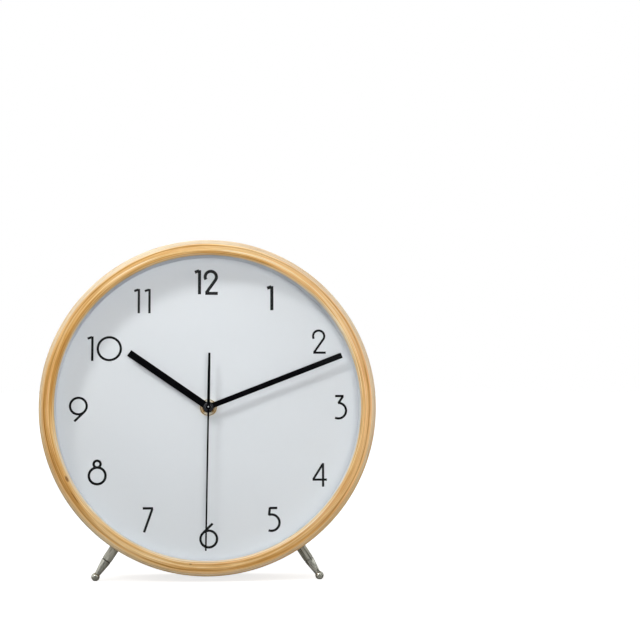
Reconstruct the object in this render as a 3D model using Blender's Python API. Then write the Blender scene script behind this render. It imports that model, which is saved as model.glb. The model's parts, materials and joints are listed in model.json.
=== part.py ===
"""A round wooden table clock with a quartz movement: case, legs, hands and works, each piece its own solid."""

import math

import bmesh
import bpy
from mathutils import Vector

MM = 0.001

# Gaps and overruns
GAP = 0.3 * MM  # between pieces that touch
TURN_GAP = 0.35 * MM  # between a shaft and what it turns in
OVERRUN = 1.0 * MM  # how far a cutter runs past the face it cuts

# Facets round a whole turn
WIDE_STEPS = 48
SMALL_STEPS = 16
FINE_STEPS = 12

# Facets along a part of a turn
ARC_STEPS = 8
BALL_STEPS = 7
BLOCK_STEPS = 4
CORNER_STEPS = 3

SHARP_ANGLE = math.radians(35)  # edges bent more than this are shaded sharp
MERGE_SHARE = 0.001  # of the gap: points nearer than this are one point

# Case
CASE_RADIUS = 100.0 * MM
RIM_WIDTH = 9.0 * MM  # wood seen from the front
RIM_OUTER_ROUND = 3.2 * MM
RIM_INNER_ROUND = 2.6 * MM
RIM_REAR_CHAMFER = 1.0 * MM
LIP_THICKNESS = 3.4 * MM  # wood in front of the glass
GLASS_OVERLAP = 3.0 * MM  # how far the glass reaches behind the lip
GLASS_THICKNESS = 2.0 * MM
HUB_TO_GLASS = 1.15 * MM  # between the second hand's arbor and the glass
DIAL_THICKNESS = 0.5 * MM
BOARD_THICKNESS = 3.0 * MM
REAR_ROOM = 3.1 * MM  # between the movement and the cover
COVER_THICKNESS = 3.0 * MM
COVER_SEAT_WIDTH = 1.7 * MM
COVER_WINDOW_MARGIN = 2.6 * MM
COVER_WINDOW_CORNER = 5.0 * MM

# Mounting blocks and cover screws
BLOCK_LENGTH = 20.0 * MM
BLOCK_DEPTH = 10.0 * MM
BLOCK_DIRECTIONS = (math.radians(45), math.radians(135), math.radians(225), math.radians(315))
SCREW_RADIUS = 1.5 * MM
SCREW_LENGTH = 14.0 * MM
SCREW_HEAD_RADIUS = 3.0 * MM
SCREW_HEAD_HEIGHT = 1.8 * MM
SCREW_EDGE_DISTANCE = 5.2 * MM  # from a block's outer side to its screw
SCREW_SLOT_WIDTH = 0.7 * MM
SCREW_SLOT_DEPTH = 0.8 * MM
SCREW_SLOT_LENGTH = 3.4 * MM

# Legs
LEG_ANGLE = math.radians(33.5)  # each side of straight down
LEG_SETBACK = 12.0 * MM  # behind the front of the case
LEG_LENGTH = 20.0 * MM  # from the rim to the middle of the ball
COLLAR_LENGTH = 8.0 * MM
COLLAR_RIM_RADIUS = 2.95 * MM
COLLAR_END_RADIUS = 2.9 * MM
PIN_NECK_RADIUS = 1.65 * MM
PIN_STUD_RADIUS = 1.1 * MM
PIN_STUD_LENGTH = 3.5 * MM
BALL_RADIUS = 2.5 * MM
FOOT_FLAT = 0.15 * MM  # ground off the balls and the rim's rear edge, where the clock stands
LEG_STUD_RADIUS = 2.0 * MM
INSERT_WALL = 0.7 * MM
INSERT_FLANGE_WIDTH = 2.5 * MM
INSERT_FLANGE_THICKNESS = 0.9 * MM
WOOD_OVER_INSERT = 1.5 * MM

# Centre bush, washer, nut and gasket
BUSH_WALL = 1.12 * MM
BUSH_FLANGE_WIDTH = 1.0 * MM
BUSH_FLANGE_THICKNESS = 0.8 * MM
BUSH_PAST_NUT = 0.5 * MM
WASHER_OVERHANG = 0.25 * MM  # past the nut
WASHER_THICKNESS = 0.5 * MM
NUT_WALL = 0.7 * MM
NUT_THICKNESS = 1.8 * MM
NUT_ROUND = 0.5 * MM
GASKET_WIDTH = 4.8 * MM
GASKET_THICKNESS = 1.0 * MM

# Nested pipes, from the second hand's arbor out
ARBOR_RADIUS = 0.43 * MM
MINUTE_PIPE_WALL = 0.8 * MM
HOUR_PIPE_WALL = 0.6 * MM

# Hands
HAND_HUB_RIM = 0.57 * MM  # round the hour hand's pipe
HAND_FIT = 0.15 * MM  # between a hand's hole and its pipe
MINUTE_TIP_CLEARANCE = 4.9 * MM  # from the minute hand's tip to the spacer ring
HOUR_HAND_SHORTFALL = 28.5 * MM
SECOND_HAND_SHORTFALL = 0.9 * MM
SECOND_HAND_TAIL = 32.6 * MM
HOUR_HAND_WIDTH = 4.2 * MM
MINUTE_HAND_WIDTH = 3.3 * MM
SECOND_POINTER_WIDTH = 1.05 * MM
SECOND_TIP_WIDTH = 0.8 * MM
SECOND_TAIL_WIDTH = 1.7 * MM
HAND_THICKNESS = 0.5 * MM
HAND_SPACING = 0.9 * MM  # between one hand and the next
SECOND_HUB_RADIUS = 1.55 * MM
SECOND_HUB_HEIGHT = 1.2 * MM
ARBOR_TIP = 0.3 * MM  # how far an arbor or pipe stands out of its hand
HOUR_HAND_ANGLE = math.radians(304.5)  # clockwise from 12, seen from the front
MINUTE_HAND_ANGLE = math.radians(68.7)
SECOND_HAND_ANGLE = math.radians(180.9)

# Gears
TRAIN_MODULE = 0.3 * MM
MOTION_MODULE = 0.35 * MM
GEAR_THICKNESS = 0.9 * MM
LAYER_GAP = 0.45 * MM
PINION_OVERHANG = 0.2 * MM
ROTOR_TEETH = 8
FIFTH_TEETH = 40
FIFTH_PINION_TEETH = 10
SECOND_TEETH = 60
SECOND_PINION_TEETH = 8
THIRD_TEETH = 60
THIRD_PINION_TEETH = 8
CENTRE_TEETH = 64
CANNON_TEETH = 12
MINUTE_TEETH = 36
MINUTE_PINION_TEETH = 10
HOUR_TEETH = 40
SETTING_TEETH = 12
TOOTH_TIP_REACH_SHARE = 0.9  # past the pitch circle, in modules
TOOTH_ROOT_REACH_SHARE = 1.25
TOOTH_ROOT_SHARE = 0.55  # of a pitch, at the root circle
TOOTH_TIP_SHARE = 0.2
THIRD_DIRECTION = math.radians(180)
FIFTH_DIRECTION = math.radians(110)
ROTOR_DIRECTION = math.radians(149)
MINUTE_WHEEL_DIRECTION = math.radians(45)
KNOB_DIRECTION = math.radians(16)

# Movement housing
SHELL_WALL = 1.2 * MM
SHELL_CORNER = 3.0 * MM
WHEEL_ROOM = 1.0 * MM
PLATE_THICKNESS = 1.0 * MM
PLATE_MARGIN = 2.4 * MM
PILLAR_RADIUS = 1.2 * MM
PIVOT_DEPTH = 0.6 * MM

# Motor
MAGNET_THICKNESS = 1.3 * MM
STATOR_CLEARANCE = 0.43 * MM  # from the fifth wheel's pinion to the stator's ring
STATOR_RING_WIDTH = 1.4 * MM
STATOR_GAP = 0.6 * MM  # between the stator and the magnet
STATOR_ARM_WIDTH = 3.0 * MM
COIL_LENGTH = 20.0 * MM
COIL_RADIUS = 2.9 * MM
BOBBIN_FLANGE_MARGIN = 0.4 * MM  # past the winding
BOBBIN_FLANGE_THICKNESS = 0.9 * MM
BOBBIN_WALL = 0.45 * MM
CORE_WIDTH = 2.0 * MM
CORE_THICKNESS = 0.9 * MM

# Battery, contacts and electronics
BATTERY_RADIUS = 7.1 * MM
BATTERY_LENGTH = 50.0 * MM
BATTERY_CORNER = 0.6 * MM
BATTERY_TERMINAL_RADIUS = 2.7 * MM
BATTERY_TERMINAL_HEIGHT = 1.2 * MM
BATTERY_ROOM = 0.5 * MM
CONTACT_THICKNESS = 0.4 * MM
CONTACT_WIDTH = 8.0 * MM
CONTACT_HEIGHT = 9.0 * MM
CONTACT_SPRING = 1.6 * MM
BOARD_LENGTH = 16.0 * MM
BOARD_HEIGHT = 10.0 * MM
CIRCUIT_THICKNESS = 0.8 * MM
CRYSTAL_RADIUS = 1.0 * MM
CRYSTAL_LENGTH = 6.2 * MM
CHIP_CAP_RADIUS = 2.6 * MM
CHIP_CAP_HEIGHT = 1.1 * MM

# Setting knob
KNOB_RADIUS = 5.5 * MM
KNOB_HEIGHT = 1.8 * MM
KNOB_FLUTES = 20
KNOB_FLUTE_DEPTH = 0.35 * MM
STEM_RADIUS = 1.4 * MM

# Places worked out from the sizes above, in the case's own frame.
# Radii are from the case's axis, and depths run back from its front.
opening_radius = CASE_RADIUS - RIM_WIDTH
disc_radius = opening_radius + GLASS_OVERLAP
cavity_radius = disc_radius + GAP
cover_radius = cavity_radius + COVER_SEAT_WIDTH

glass_front = LIP_THICKNESS + GAP
glass_back = glass_front + GLASS_THICKNESS
hands_height = 3 * (HAND_SPACING + HAND_THICKNESS) + HAND_FIT + SECOND_HUB_HEIGHT + ARBOR_TIP
bush_height = GAP + WASHER_THICKNESS + GAP + NUT_THICKNESS + BUSH_PAST_NUT
dial_front = glass_back + HUB_TO_GLASS + hands_height + bush_height
dial_back = dial_front + DIAL_THICKNESS
board_front = dial_back + GAP
board_back = board_front + BOARD_THICKNESS
gasket_front = board_back + GAP
movement_front = gasket_front + GASKET_THICKNESS + GAP

washer_back = dial_front - GAP
washer_front = washer_back - WASHER_THICKNESS
nut_back = washer_front - GAP
nut_front = nut_back - NUT_THICKNESS
bush_front = nut_front - BUSH_PAST_NUT

front_wall_back = movement_front + SHELL_WALL
flange_front = front_wall_back + GAP
flange_back = flange_front + BUSH_FLANGE_THICKNESS
hour_layer = flange_back + LAYER_GAP
layer_step = GEAR_THICKNESS + LAYER_GAP
minute_layer = hour_layer + layer_step
plate_front = minute_layer + layer_step
plate_back = plate_front + PLATE_THICKNESS
centre_layer = plate_back + LAYER_GAP
third_layer = centre_layer + layer_step
second_layer = third_layer + layer_step
fifth_layer = second_layer + layer_step
bobbin_flange = COIL_RADIUS + BOBBIN_FLANGE_MARGIN
core_front = second_layer + GEAR_THICKNESS + GAP
bobbin_middle = core_front + CORE_THICKNESS / 2
works_back = max(bobbin_middle + bobbin_flange, fifth_layer + layer_step) + GAP
battery_back = front_wall_back + BATTERY_ROOM + 2 * BATTERY_RADIUS
rear_wall_front = max(works_back, battery_back - SHELL_WALL)
movement_back = rear_wall_front + SHELL_WALL

cover_front = movement_back + REAR_ROOM
cover_back = cover_front + COVER_THICKNESS
case_depth = cover_back + GAP + SCREW_HEAD_HEIGHT + GAP

minute_pipe_bore = ARBOR_RADIUS + TURN_GAP
minute_pipe_radius = minute_pipe_bore + MINUTE_PIPE_WALL
hour_pipe_bore = minute_pipe_radius + GAP
hour_pipe_radius = hour_pipe_bore + HOUR_PIPE_WALL
bush_bore = hour_pipe_radius + GAP
bush_radius = bush_bore + BUSH_WALL
nut_radius = bush_radius + GAP + NUT_WALL
washer_radius = nut_radius + WASHER_OVERHANG
hand_hub_radius = hour_pipe_radius + HAND_FIT + HAND_HUB_RIM

hour_hand_back = bush_front - HAND_SPACING
hour_hand_front = hour_hand_back - HAND_THICKNESS
minute_hand_back = hour_hand_front - HAND_SPACING
minute_hand_front = minute_hand_back - HAND_THICKNESS
second_hand_back = minute_hand_front - HAND_SPACING
second_hand_front = second_hand_back - HAND_THICKNESS

minute_hand_length = opening_radius - MINUTE_TIP_CLEARANCE
hour_hand_length = minute_hand_length - HOUR_HAND_SHORTFALL
second_hand_length = minute_hand_length - SECOND_HAND_SHORTFALL

# Centre distances: each pair's module is set so that its teeth fit the distance
second_fifth_distance = (SECOND_TEETH + FIFTH_PINION_TEETH) * TRAIN_MODULE / 2
fifth_rotor_distance = (FIFTH_TEETH + ROTOR_TEETH) * TRAIN_MODULE / 2
third_distance = (THIRD_TEETH + SECOND_PINION_TEETH) * TRAIN_MODULE / 2
centre_module = 2 * third_distance / (CENTRE_TEETH + THIRD_PINION_TEETH)
minute_distance = (MINUTE_TEETH + CANNON_TEETH) * MOTION_MODULE / 2
hour_module = 2 * minute_distance / (HOUR_TEETH + MINUTE_PINION_TEETH)
knob_distance = (MINUTE_TEETH + SETTING_TEETH) * MOTION_MODULE / 2


def toward(start, direction, distance):
    """The (x, z) point that lies this far from start in this direction."""
    return (start[0] + distance * math.cos(direction), start[1] + distance * math.sin(direction))


def tip_radius(teeth, module):
    return module * (teeth / 2 + TOOTH_TIP_REACH_SHARE)


def root_radius(teeth, module):
    return module * (teeth / 2 - TOOTH_ROOT_REACH_SHARE)


centre_axis = (0, 0)
third_axis = toward(centre_axis, THIRD_DIRECTION, third_distance)
fifth_axis = toward(centre_axis, FIFTH_DIRECTION, second_fifth_distance)
rotor_axis = toward(fifth_axis, ROTOR_DIRECTION, fifth_rotor_distance)
minute_axis = toward(centre_axis, MINUTE_WHEEL_DIRECTION, minute_distance)
knob_axis = toward(minute_axis, KNOB_DIRECTION, knob_distance)

centre_tip = max(tip_radius(CENTRE_TEETH, centre_module), tip_radius(SECOND_TEETH, TRAIN_MODULE))
bay_wall_top = -(centre_tip + WHEEL_ROOM)
bay_wall_bottom = bay_wall_top - SHELL_WALL
battery_height = bay_wall_bottom - BATTERY_ROOM - BATTERY_RADIUS
housing_bottom = battery_height - BATTERY_RADIUS - BATTERY_ROOM - SHELL_WALL
stator_ring_radius = fifth_rotor_distance - tip_radius(FIFTH_PINION_TEETH, TRAIN_MODULE) - STATOR_CLEARANCE
stator_hole_radius = stator_ring_radius - STATOR_RING_WIDTH
magnet_radius = stator_hole_radius - STATOR_GAP
coil_height = rotor_axis[1] + stator_ring_radius + GAP + bobbin_flange
housing_top = coil_height + bobbin_flange + WHEEL_ROOM + SHELL_WALL
bay_half_width = (BATTERY_LENGTH + CONTACT_SPRING) / 2 + CONTACT_THICKNESS + 2 * GAP
stator_half_width = COIL_LENGTH / 2 + GAP + STATOR_ARM_WIDTH
works_half_width = max(stator_half_width - rotor_axis[0], knob_axis[0] + PLATE_MARGIN + PILLAR_RADIUS) + GAP
housing_half_width = max(bay_half_width, works_half_width) + SHELL_WALL
battery_middle = bay_half_width - CONTACT_THICKNESS - 2 * GAP - BATTERY_LENGTH / 2
coil_middle = rotor_axis[0]

leg_depth = LEG_SETBACK
ball_drop = (CASE_RADIUS + LEG_LENGTH) * math.cos(LEG_ANGLE)
rear_edge_depth = case_depth - RIM_REAR_CHAMFER
insert_back = cavity_radius + GAP
insert_front = CASE_RADIUS - WOOD_OVER_INSERT
insert_bore = LEG_STUD_RADIUS + GAP
insert_radius = insert_bore + INSERT_WALL
flange_radius = insert_radius + INSERT_FLANGE_WIDTH

# The clock leans back until its two balls and the rim's rear edge touch the ground together
edge_behind_leg = rear_edge_depth - leg_depth
ball_below_edge = ball_drop - CASE_RADIUS
lean = math.asin(BALL_RADIUS / math.hypot(edge_behind_leg, ball_below_edge)) + math.atan2(
    ball_below_edge, edge_behind_leg
)


def clear_scene():
    for found in list(bpy.data.objects):
        bpy.data.objects.remove(found, do_unlink=True)


def finish(name, colour, roughness, metallic=0.0, alpha=1.0):
    """The material of this name, made once."""
    known = bpy.data.materials.get(name)
    if known:
        return known
    made = bpy.data.materials.new(name)
    made.use_nodes = True
    shader = made.node_tree.nodes["Principled BSDF"]
    shader.inputs["Base Color"].default_value = (*colour, 1.0)
    shader.inputs["Roughness"].default_value = roughness
    shader.inputs["Metallic"].default_value = metallic
    shader.inputs["Alpha"].default_value = alpha
    made.diffuse_color = (*colour, alpha)
    return made


def rim_wood():
    return finish("rim_wood", (0.78, 0.52, 0.27), 0.55)


def block_wood():
    return finish("block_wood", (0.72, 0.55, 0.34), 0.7)


def fibreboard():
    return finish("fibreboard", (0.42, 0.29, 0.18), 0.75)


def clear_glass():
    return finish("clear_glass", (0.9, 0.95, 0.95), 0.03, alpha=0.3)


def white_card():
    return finish("white_card", (0.68, 0.7, 0.74), 0.6)


def white_plastic():
    return finish("white_plastic", (0.62, 0.63, 0.64), 0.5)


def black_gloss():
    return finish("black_gloss", (0.012, 0.012, 0.014), 0.18)


def brass():
    return finish("brass", (0.72, 0.52, 0.24), 0.25, metallic=1.0)


def steel():
    return finish("steel", (0.55, 0.55, 0.53), 0.25, metallic=1.0)


def satin_nickel():
    return finish("satin_nickel", (0.5, 0.49, 0.42), 0.32, metallic=1.0)


def black_plastic():
    return finish("black_plastic", (0.03, 0.03, 0.033), 0.5)


def smoke_plastic():
    return finish("smoke_plastic", (0.1, 0.1, 0.11), 0.4)


def gear_plastic():
    return finish("gear_plastic", (0.8, 0.78, 0.7), 0.45)


def black_rubber():
    return finish("black_rubber", (0.02, 0.02, 0.02), 0.85)


def copper_wire():
    return finish("copper_wire", (0.65, 0.26, 0.1), 0.35, metallic=1.0)


def magnet_grey():
    return finish("magnet_grey", (0.16, 0.16, 0.17), 0.5, metallic=1.0)


def green_laminate():
    return finish("green_laminate", (0.05, 0.24, 0.1), 0.45)


def battery_foil():
    return finish("battery_foil", (0.1, 0.28, 0.42), 0.3)


def arc(centre, radius, start, end, steps):
    """Points along an arc, ends included."""
    turn = (end - start) / steps
    return [toward(centre, start + i * turn, radius) for i in range(steps + 1)]


def ring_outline(radius, steps, centre=(0, 0)):
    return [toward(centre, 2 * math.pi * i / steps, radius) for i in range(steps)]


def box_outline(left, right, bottom, top, corner=0.0, steps=CORNER_STEPS):
    """A rectangle, with round corners if corner isn't 0."""
    if not corner:
        return [(left, bottom), (right, bottom), (right, top), (left, top)]
    quarter = math.pi / 2
    points = arc((left + corner, bottom + corner), corner, 2 * quarter, 3 * quarter, steps)
    points += arc((right - corner, bottom + corner), corner, 3 * quarter, 4 * quarter, steps)
    points += arc((right - corner, top - corner), corner, 0, quarter, steps)
    points += arc((left + corner, top - corner), corner, quarter, 2 * quarter, steps)
    return points


def gear_outline(teeth, module, phase):
    """Trapezoid teeth, one of them centred on the phase angle."""
    pitch = 2 * math.pi / teeth
    tip, root = tip_radius(teeth, module), root_radius(teeth, module)
    half_root, half_tip = pitch * TOOTH_ROOT_SHARE / 2, pitch * TOOTH_TIP_SHARE / 2
    points = []
    for i in range(teeth):
        middle = phase + i * pitch
        points.append(toward((0, 0), middle - half_root, root))
        points.append(toward((0, 0), middle - half_tip, tip))
        points.append(toward((0, 0), middle + half_tip, tip))
        points.append(toward((0, 0), middle + half_root, root))
    return points


def mesh_phase(phase, teeth, other_teeth, direction):
    """The phase that meshes the other gear with this one; direction runs from this gear to the other."""
    back = direction + math.pi
    return back + (direction - phase) * teeth / other_teeth + math.pi / other_teeth


def add_object(name, shape, finish_of, axis, depth):
    """An object of the case, with its origin at this (x, z) place and this depth behind the case's front."""
    bmesh.ops.recalc_face_normals(shape, faces=shape.faces)
    mesh = bpy.data.meshes.new(name)
    shape.to_mesh(mesh)
    shape.free()
    made = bpy.data.objects.new(name, mesh)
    bpy.context.scene.collection.objects.link(made)
    made.parent = clock
    made.location = (axis[0], depth - case_depth / 2, axis[1])
    if finish_of:
        mesh.materials.append(finish_of())
    return made


def smooth(piece):
    piece.data.shade_smooth()
    piece.data.set_sharp_from_angle(angle=SHARP_ANGLE)
    return piece


def turned(name, profile, finish_of, axis=(0, 0), depth=0.0, steps=SMALL_STEPS):
    """A closed profile of (radius, depth) points, turned about the depth axis."""
    shape = bmesh.new()
    points = [shape.verts.new((radius, along, 0)) for radius, along in profile]
    edges = [shape.edges.new((points[i - 1], points[i])) for i in range(len(points))]
    on_axis = [e for e in edges if e.verts[0].co.x == 0 and e.verts[1].co.x == 0]
    bmesh.ops.delete(shape, geom=on_axis, context="EDGES")
    bmesh.ops.spin(
        shape,
        geom=shape.verts[:] + shape.edges[:],
        cent=(0, 0, 0),
        axis=(0, 1, 0),
        angle=2 * math.pi,
        steps=steps,
        use_duplicate=False,
    )
    bmesh.ops.remove_doubles(shape, verts=shape.verts, dist=GAP * MERGE_SHARE)
    return smooth(add_object(name, shape, finish_of, axis, depth))


def plate(name, outline, finish_of, thickness, holes=(), axis=(0, 0), depth=0.0):
    """A flat piece with this (x, z) outline and these holes, its front face at this depth."""
    shape = bmesh.new()
    for loop in (outline, *holes):
        points = [shape.verts.new((x, 0, z)) for x, z in loop]
        for i in range(len(points)):
            shape.edges.new((points[i - 1], points[i]))
    bmesh.ops.triangle_fill(shape, use_beauty=True, edges=shape.edges[:], normal=(0, -1, 0))
    grown = bmesh.ops.extrude_face_region(shape, geom=shape.faces[:])
    moved = [item for item in grown["geom"] if isinstance(item, bmesh.types.BMVert)]
    bmesh.ops.translate(shape, verts=moved, vec=(0, thickness, 0))
    return smooth(add_object(name, shape, finish_of, axis, depth))


def box(name, left, right, bottom, top, front, back, finish_of):
    outline = box_outline(left, right, bottom, top)
    return plate(name, outline, finish_of, back - front, depth=front)


def combine(piece, other, operation):
    """Cuts or joins with another solid, which then only guides the shape."""
    change = piece.modifiers.new(f"{operation.lower()}_{other.name}", "BOOLEAN")
    change.operation = operation
    change.object = other
    other.hide_render = True
    other.display_type = "WIRE"
    other.name = f"guide_{other.name}"
    return piece


def cut(piece, *others):
    for other in others:
        combine(piece, other, "DIFFERENCE")
    return piece


def join(piece, *others):
    for other in others:
        combine(piece, other, "UNION")
    return piece


def point_along(piece, direction, start):
    """Turns a turned piece so that its own axis runs along this direction, from this (x, z) start."""
    piece.rotation_mode = "QUATERNION"
    piece.rotation_quaternion = Vector((0, 1, 0)).rotation_difference(Vector(direction))
    piece.location.x, piece.location.z = start
    return piece


def rod_profile(radius, start, end):
    return [(0, start), (radius, start), (radius, end), (0, end)]


def tube_profile(inner, outer, start, end):
    return [(inner, start), (outer, start), (outer, end), (inner, end)]


def rim_profile():
    """(radius, depth) points of the rim's section: rounded front, glass rabbet, cavity and cover seat."""
    quarter = math.pi / 2
    inner_centre = (opening_radius + RIM_INNER_ROUND, RIM_INNER_ROUND)
    outer_centre = (CASE_RADIUS - RIM_OUTER_ROUND, RIM_OUTER_ROUND)
    inner_round = arc(inner_centre, RIM_INNER_ROUND, 2 * quarter, 3 * quarter, CORNER_STEPS)
    outer_round = arc(outer_centre, RIM_OUTER_ROUND, -quarter, 0, CORNER_STEPS + 1)
    return inner_round + outer_round + [
        (CASE_RADIUS, rear_edge_depth),
        (CASE_RADIUS - RIM_REAR_CHAMFER, case_depth),
        (cover_radius + GAP, case_depth),
        (cover_radius + GAP, cover_front - GAP),
        (cavity_radius, cover_front - GAP),
        (cavity_radius, LIP_THICKNESS),
        (opening_radius, LIP_THICKNESS),
    ]


def leg_direction(side):
    """From the case's axis outward along the leg; side is -1 for the left one and 1 for the right."""
    return (side * math.sin(LEG_ANGLE), 0, -math.cos(LEG_ANGLE))


def leg_piece(name, profile, side, finish_of, steps=SMALL_STEPS):
    """A turned piece of a leg, whose profile's depths are distances from the case's axis."""
    piece = turned(name, profile, finish_of, depth=leg_depth, steps=steps)
    return point_along(piece, leg_direction(side), (0, 0))


def ground_cutter(name):
    """The ground, as a block that flattens what stands on it."""
    reach = 2 * CASE_RADIUS
    shape = bmesh.new()
    bmesh.ops.create_cube(shape, size=1)
    bmesh.ops.scale(shape, verts=shape.verts, vec=(reach, reach, LEG_LENGTH))
    bmesh.ops.translate(shape, verts=shape.verts, vec=(0, 0, -LEG_LENGTH / 2))
    ground = add_object(name, shape, None, (0, 0), 0)
    ground.parent = None
    ground.location = (0, 0, 0)
    return ground


def make_case():
    rim = turned("case_rim", rim_profile(), rim_wood, steps=WIDE_STEPS)
    for side in (-1, 1):
        hole = [
            (0, cavity_radius - OVERRUN),
            (flange_radius + GAP, cavity_radius - OVERRUN),
            (flange_radius + GAP, insert_back + INSERT_FLANGE_THICKNESS + GAP),
            (insert_radius + GAP, insert_back + INSERT_FLANGE_THICKNESS + GAP),
            (insert_radius + GAP, insert_front + GAP),
            (insert_bore, insert_front + GAP),
            (insert_bore, CASE_RADIUS + OVERRUN),
            (0, CASE_RADIUS + OVERRUN),
        ]
        cut(rim, leg_piece(f"leg_hole_{side}", hole, side, None))
    cut(rim, ground_cutter("rim_ground"))
    turned("front_glass", rod_profile(disc_radius, glass_front, glass_back), clear_glass, steps=WIDE_STEPS)
    spacer = tube_profile(opening_radius, disc_radius, glass_back + GAP, dial_front - GAP)
    turned("spacer_ring", spacer, white_plastic, steps=WIDE_STEPS)


def make_dial():
    outline = ring_outline(disc_radius, WIDE_STEPS)
    hole = ring_outline(bush_radius + GAP, SMALL_STEPS)
    plate("dial_face", outline, white_card, DIAL_THICKNESS, [hole], depth=dial_front)
    plate("dial_board", outline, fibreboard, BOARD_THICKNESS, [hole], depth=board_front)


def make_legs():
    seat = CASE_RADIUS + GAP
    seam = seat + COLLAR_LENGTH
    ball = CASE_RADIUS + LEG_LENGTH
    neck = ball - math.sqrt(BALL_RADIUS**2 - PIN_NECK_RADIUS**2)
    neck_angle = math.asin(PIN_NECK_RADIUS / BALL_RADIUS)
    for side, word in ((-1, "left"), (1, "right")):
        insert = [
            (insert_bore, insert_back),
            (flange_radius, insert_back),
            (flange_radius, insert_back + INSERT_FLANGE_THICKNESS),
            (insert_radius, insert_back + INSERT_FLANGE_THICKNESS),
            (insert_radius, insert_front),
            (insert_bore, insert_front),
        ]
        leg_piece(f"leg_{word}_insert", insert, side, steel)
        collar = [
            (0, insert_back + GAP),
            (LEG_STUD_RADIUS, insert_back + GAP),
            (LEG_STUD_RADIUS, seat),
            (COLLAR_RIM_RADIUS, seat),
            (COLLAR_END_RADIUS, seam),
            (PIN_STUD_RADIUS + GAP, seam),
            (PIN_STUD_RADIUS + GAP, seam - PIN_STUD_LENGTH - GAP),
            (0, seam - PIN_STUD_LENGTH - GAP),
        ]
        leg_piece(f"leg_{word}_collar", collar, side, satin_nickel)
        pin = [
            (0, seam - PIN_STUD_LENGTH),
            (PIN_STUD_RADIUS, seam - PIN_STUD_LENGTH),
            (PIN_STUD_RADIUS, seam + GAP),
            (COLLAR_END_RADIUS, seam + GAP),
            (PIN_NECK_RADIUS, neck),
        ]
        for step in range(1, BALL_STEPS):
            turn = neck_angle + (math.pi - neck_angle) * step / BALL_STEPS
            pin.append((BALL_RADIUS * math.sin(turn), ball - BALL_RADIUS * math.cos(turn)))
        pin.append((0, ball + BALL_RADIUS))
        leg = leg_piece(f"leg_{word}_pin", pin, side, satin_nickel)
        cut(leg, ground_cutter(f"{word}_ground"))


def screw_place(direction):
    return toward((0, 0), direction, cavity_radius - GAP - SCREW_EDGE_DISTANCE)


def make_blocks():
    """Four wood blocks inside the rim, each with a pilot hole for a cover screw."""
    outer = cavity_radius - GAP
    half_angle = math.asin(BLOCK_LENGTH / 2 / outer)
    for number, direction in enumerate(BLOCK_DIRECTIONS, 1):
        outline = arc((0, 0), outer, direction - half_angle, direction + half_angle, BLOCK_STEPS)
        inner = toward((0, 0), direction, outer - BLOCK_DEPTH)
        for end in (1, -1):
            outline.append(toward(inner, direction + end * math.pi / 2, BLOCK_LENGTH / 2))
        hole = ring_outline(SCREW_RADIUS + GAP / 2, FINE_STEPS, screw_place(direction))
        front = board_back + GAP
        plate(f"mounting_block_{number}", outline, block_wood, cover_front - GAP - front, [hole], depth=front)


def make_cover():
    window = box_outline(
        -housing_half_width - COVER_WINDOW_MARGIN,
        housing_half_width + COVER_WINDOW_MARGIN,
        housing_bottom - COVER_WINDOW_MARGIN,
        housing_top + COVER_WINDOW_MARGIN,
        COVER_WINDOW_CORNER,
    )
    holes = [window]
    for direction in BLOCK_DIRECTIONS:
        holes.append(ring_outline(SCREW_RADIUS + GAP, FINE_STEPS, screw_place(direction)))
    outline = ring_outline(cover_radius, WIDE_STEPS)
    plate("rear_cover", outline, fibreboard, COVER_THICKNESS, holes, depth=cover_front)


def make_screws():
    """Each screw's depths run from under its head: forward is negative."""
    profile = [
        (0, -SCREW_LENGTH),
        (SCREW_RADIUS, 2 * SCREW_RADIUS - SCREW_LENGTH),
        (SCREW_RADIUS, 0),
        (SCREW_HEAD_RADIUS, 0),
        (SCREW_HEAD_RADIUS, SCREW_HEAD_HEIGHT / 2),
        (SCREW_HEAD_RADIUS - SCREW_HEAD_HEIGHT / 2, SCREW_HEAD_HEIGHT),
        (0, SCREW_HEAD_HEIGHT),
    ]
    under_head = cover_back + GAP
    slot_floor = under_head + SCREW_HEAD_HEIGHT - SCREW_SLOT_DEPTH
    for number, direction in enumerate(BLOCK_DIRECTIONS, 1):
        x, z = screw_place(direction)
        screw = turned(f"cover_screw_{number}", profile, steel, (x, z), under_head, FINE_STEPS)
        long, narrow = SCREW_SLOT_LENGTH / 2, SCREW_SLOT_WIDTH / 2
        for name, half_x, half_z in (("flat", long, narrow), ("upright", narrow, long)):
            cut(screw, box(f"slot_{name}_{number}", x - half_x, x + half_x, z - half_z, z + half_z,
                           slot_floor, case_depth + OVERRUN, None))


def make_centre_fittings():
    bush = [
        (bush_bore, bush_front),
        (bush_radius, bush_front),
        (bush_radius, flange_front),
        (bush_radius + BUSH_FLANGE_WIDTH, flange_front),
        (bush_radius + BUSH_FLANGE_WIDTH, flange_back),
        (bush_bore, flange_back),
    ]
    turned("threaded_bush", bush, brass, steps=SMALL_STEPS)
    hole = bush_radius + GAP
    washer = tube_profile(hole, washer_radius, washer_front, washer_back)
    turned("bush_washer", washer, brass, steps=2 * SMALL_STEPS)
    nut = [
        (hole, nut_front),
        (nut_radius - NUT_ROUND, nut_front),
        (nut_radius, nut_front + NUT_ROUND),
        (nut_radius, nut_back),
        (hole, nut_back),
    ]
    turned("bush_nut", nut, brass, steps=2 * SMALL_STEPS)
    gasket = tube_profile(hole, hole + GASKET_WIDTH, gasket_front, gasket_front + GASKET_THICKNESS)
    turned("rubber_gasket", gasket, black_rubber)


def pillar_places():
    return [
        (third_axis[0] - PLATE_MARGIN, bay_wall_top + PILLAR_RADIUS + GAP),
        (knob_axis[0] + PLATE_MARGIN, bay_wall_top + PILLAR_RADIUS + GAP),
        (third_axis[0] - PLATE_MARGIN, rotor_axis[1]),
        (knob_axis[0] + PLATE_MARGIN, rotor_axis[1]),
    ]


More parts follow.
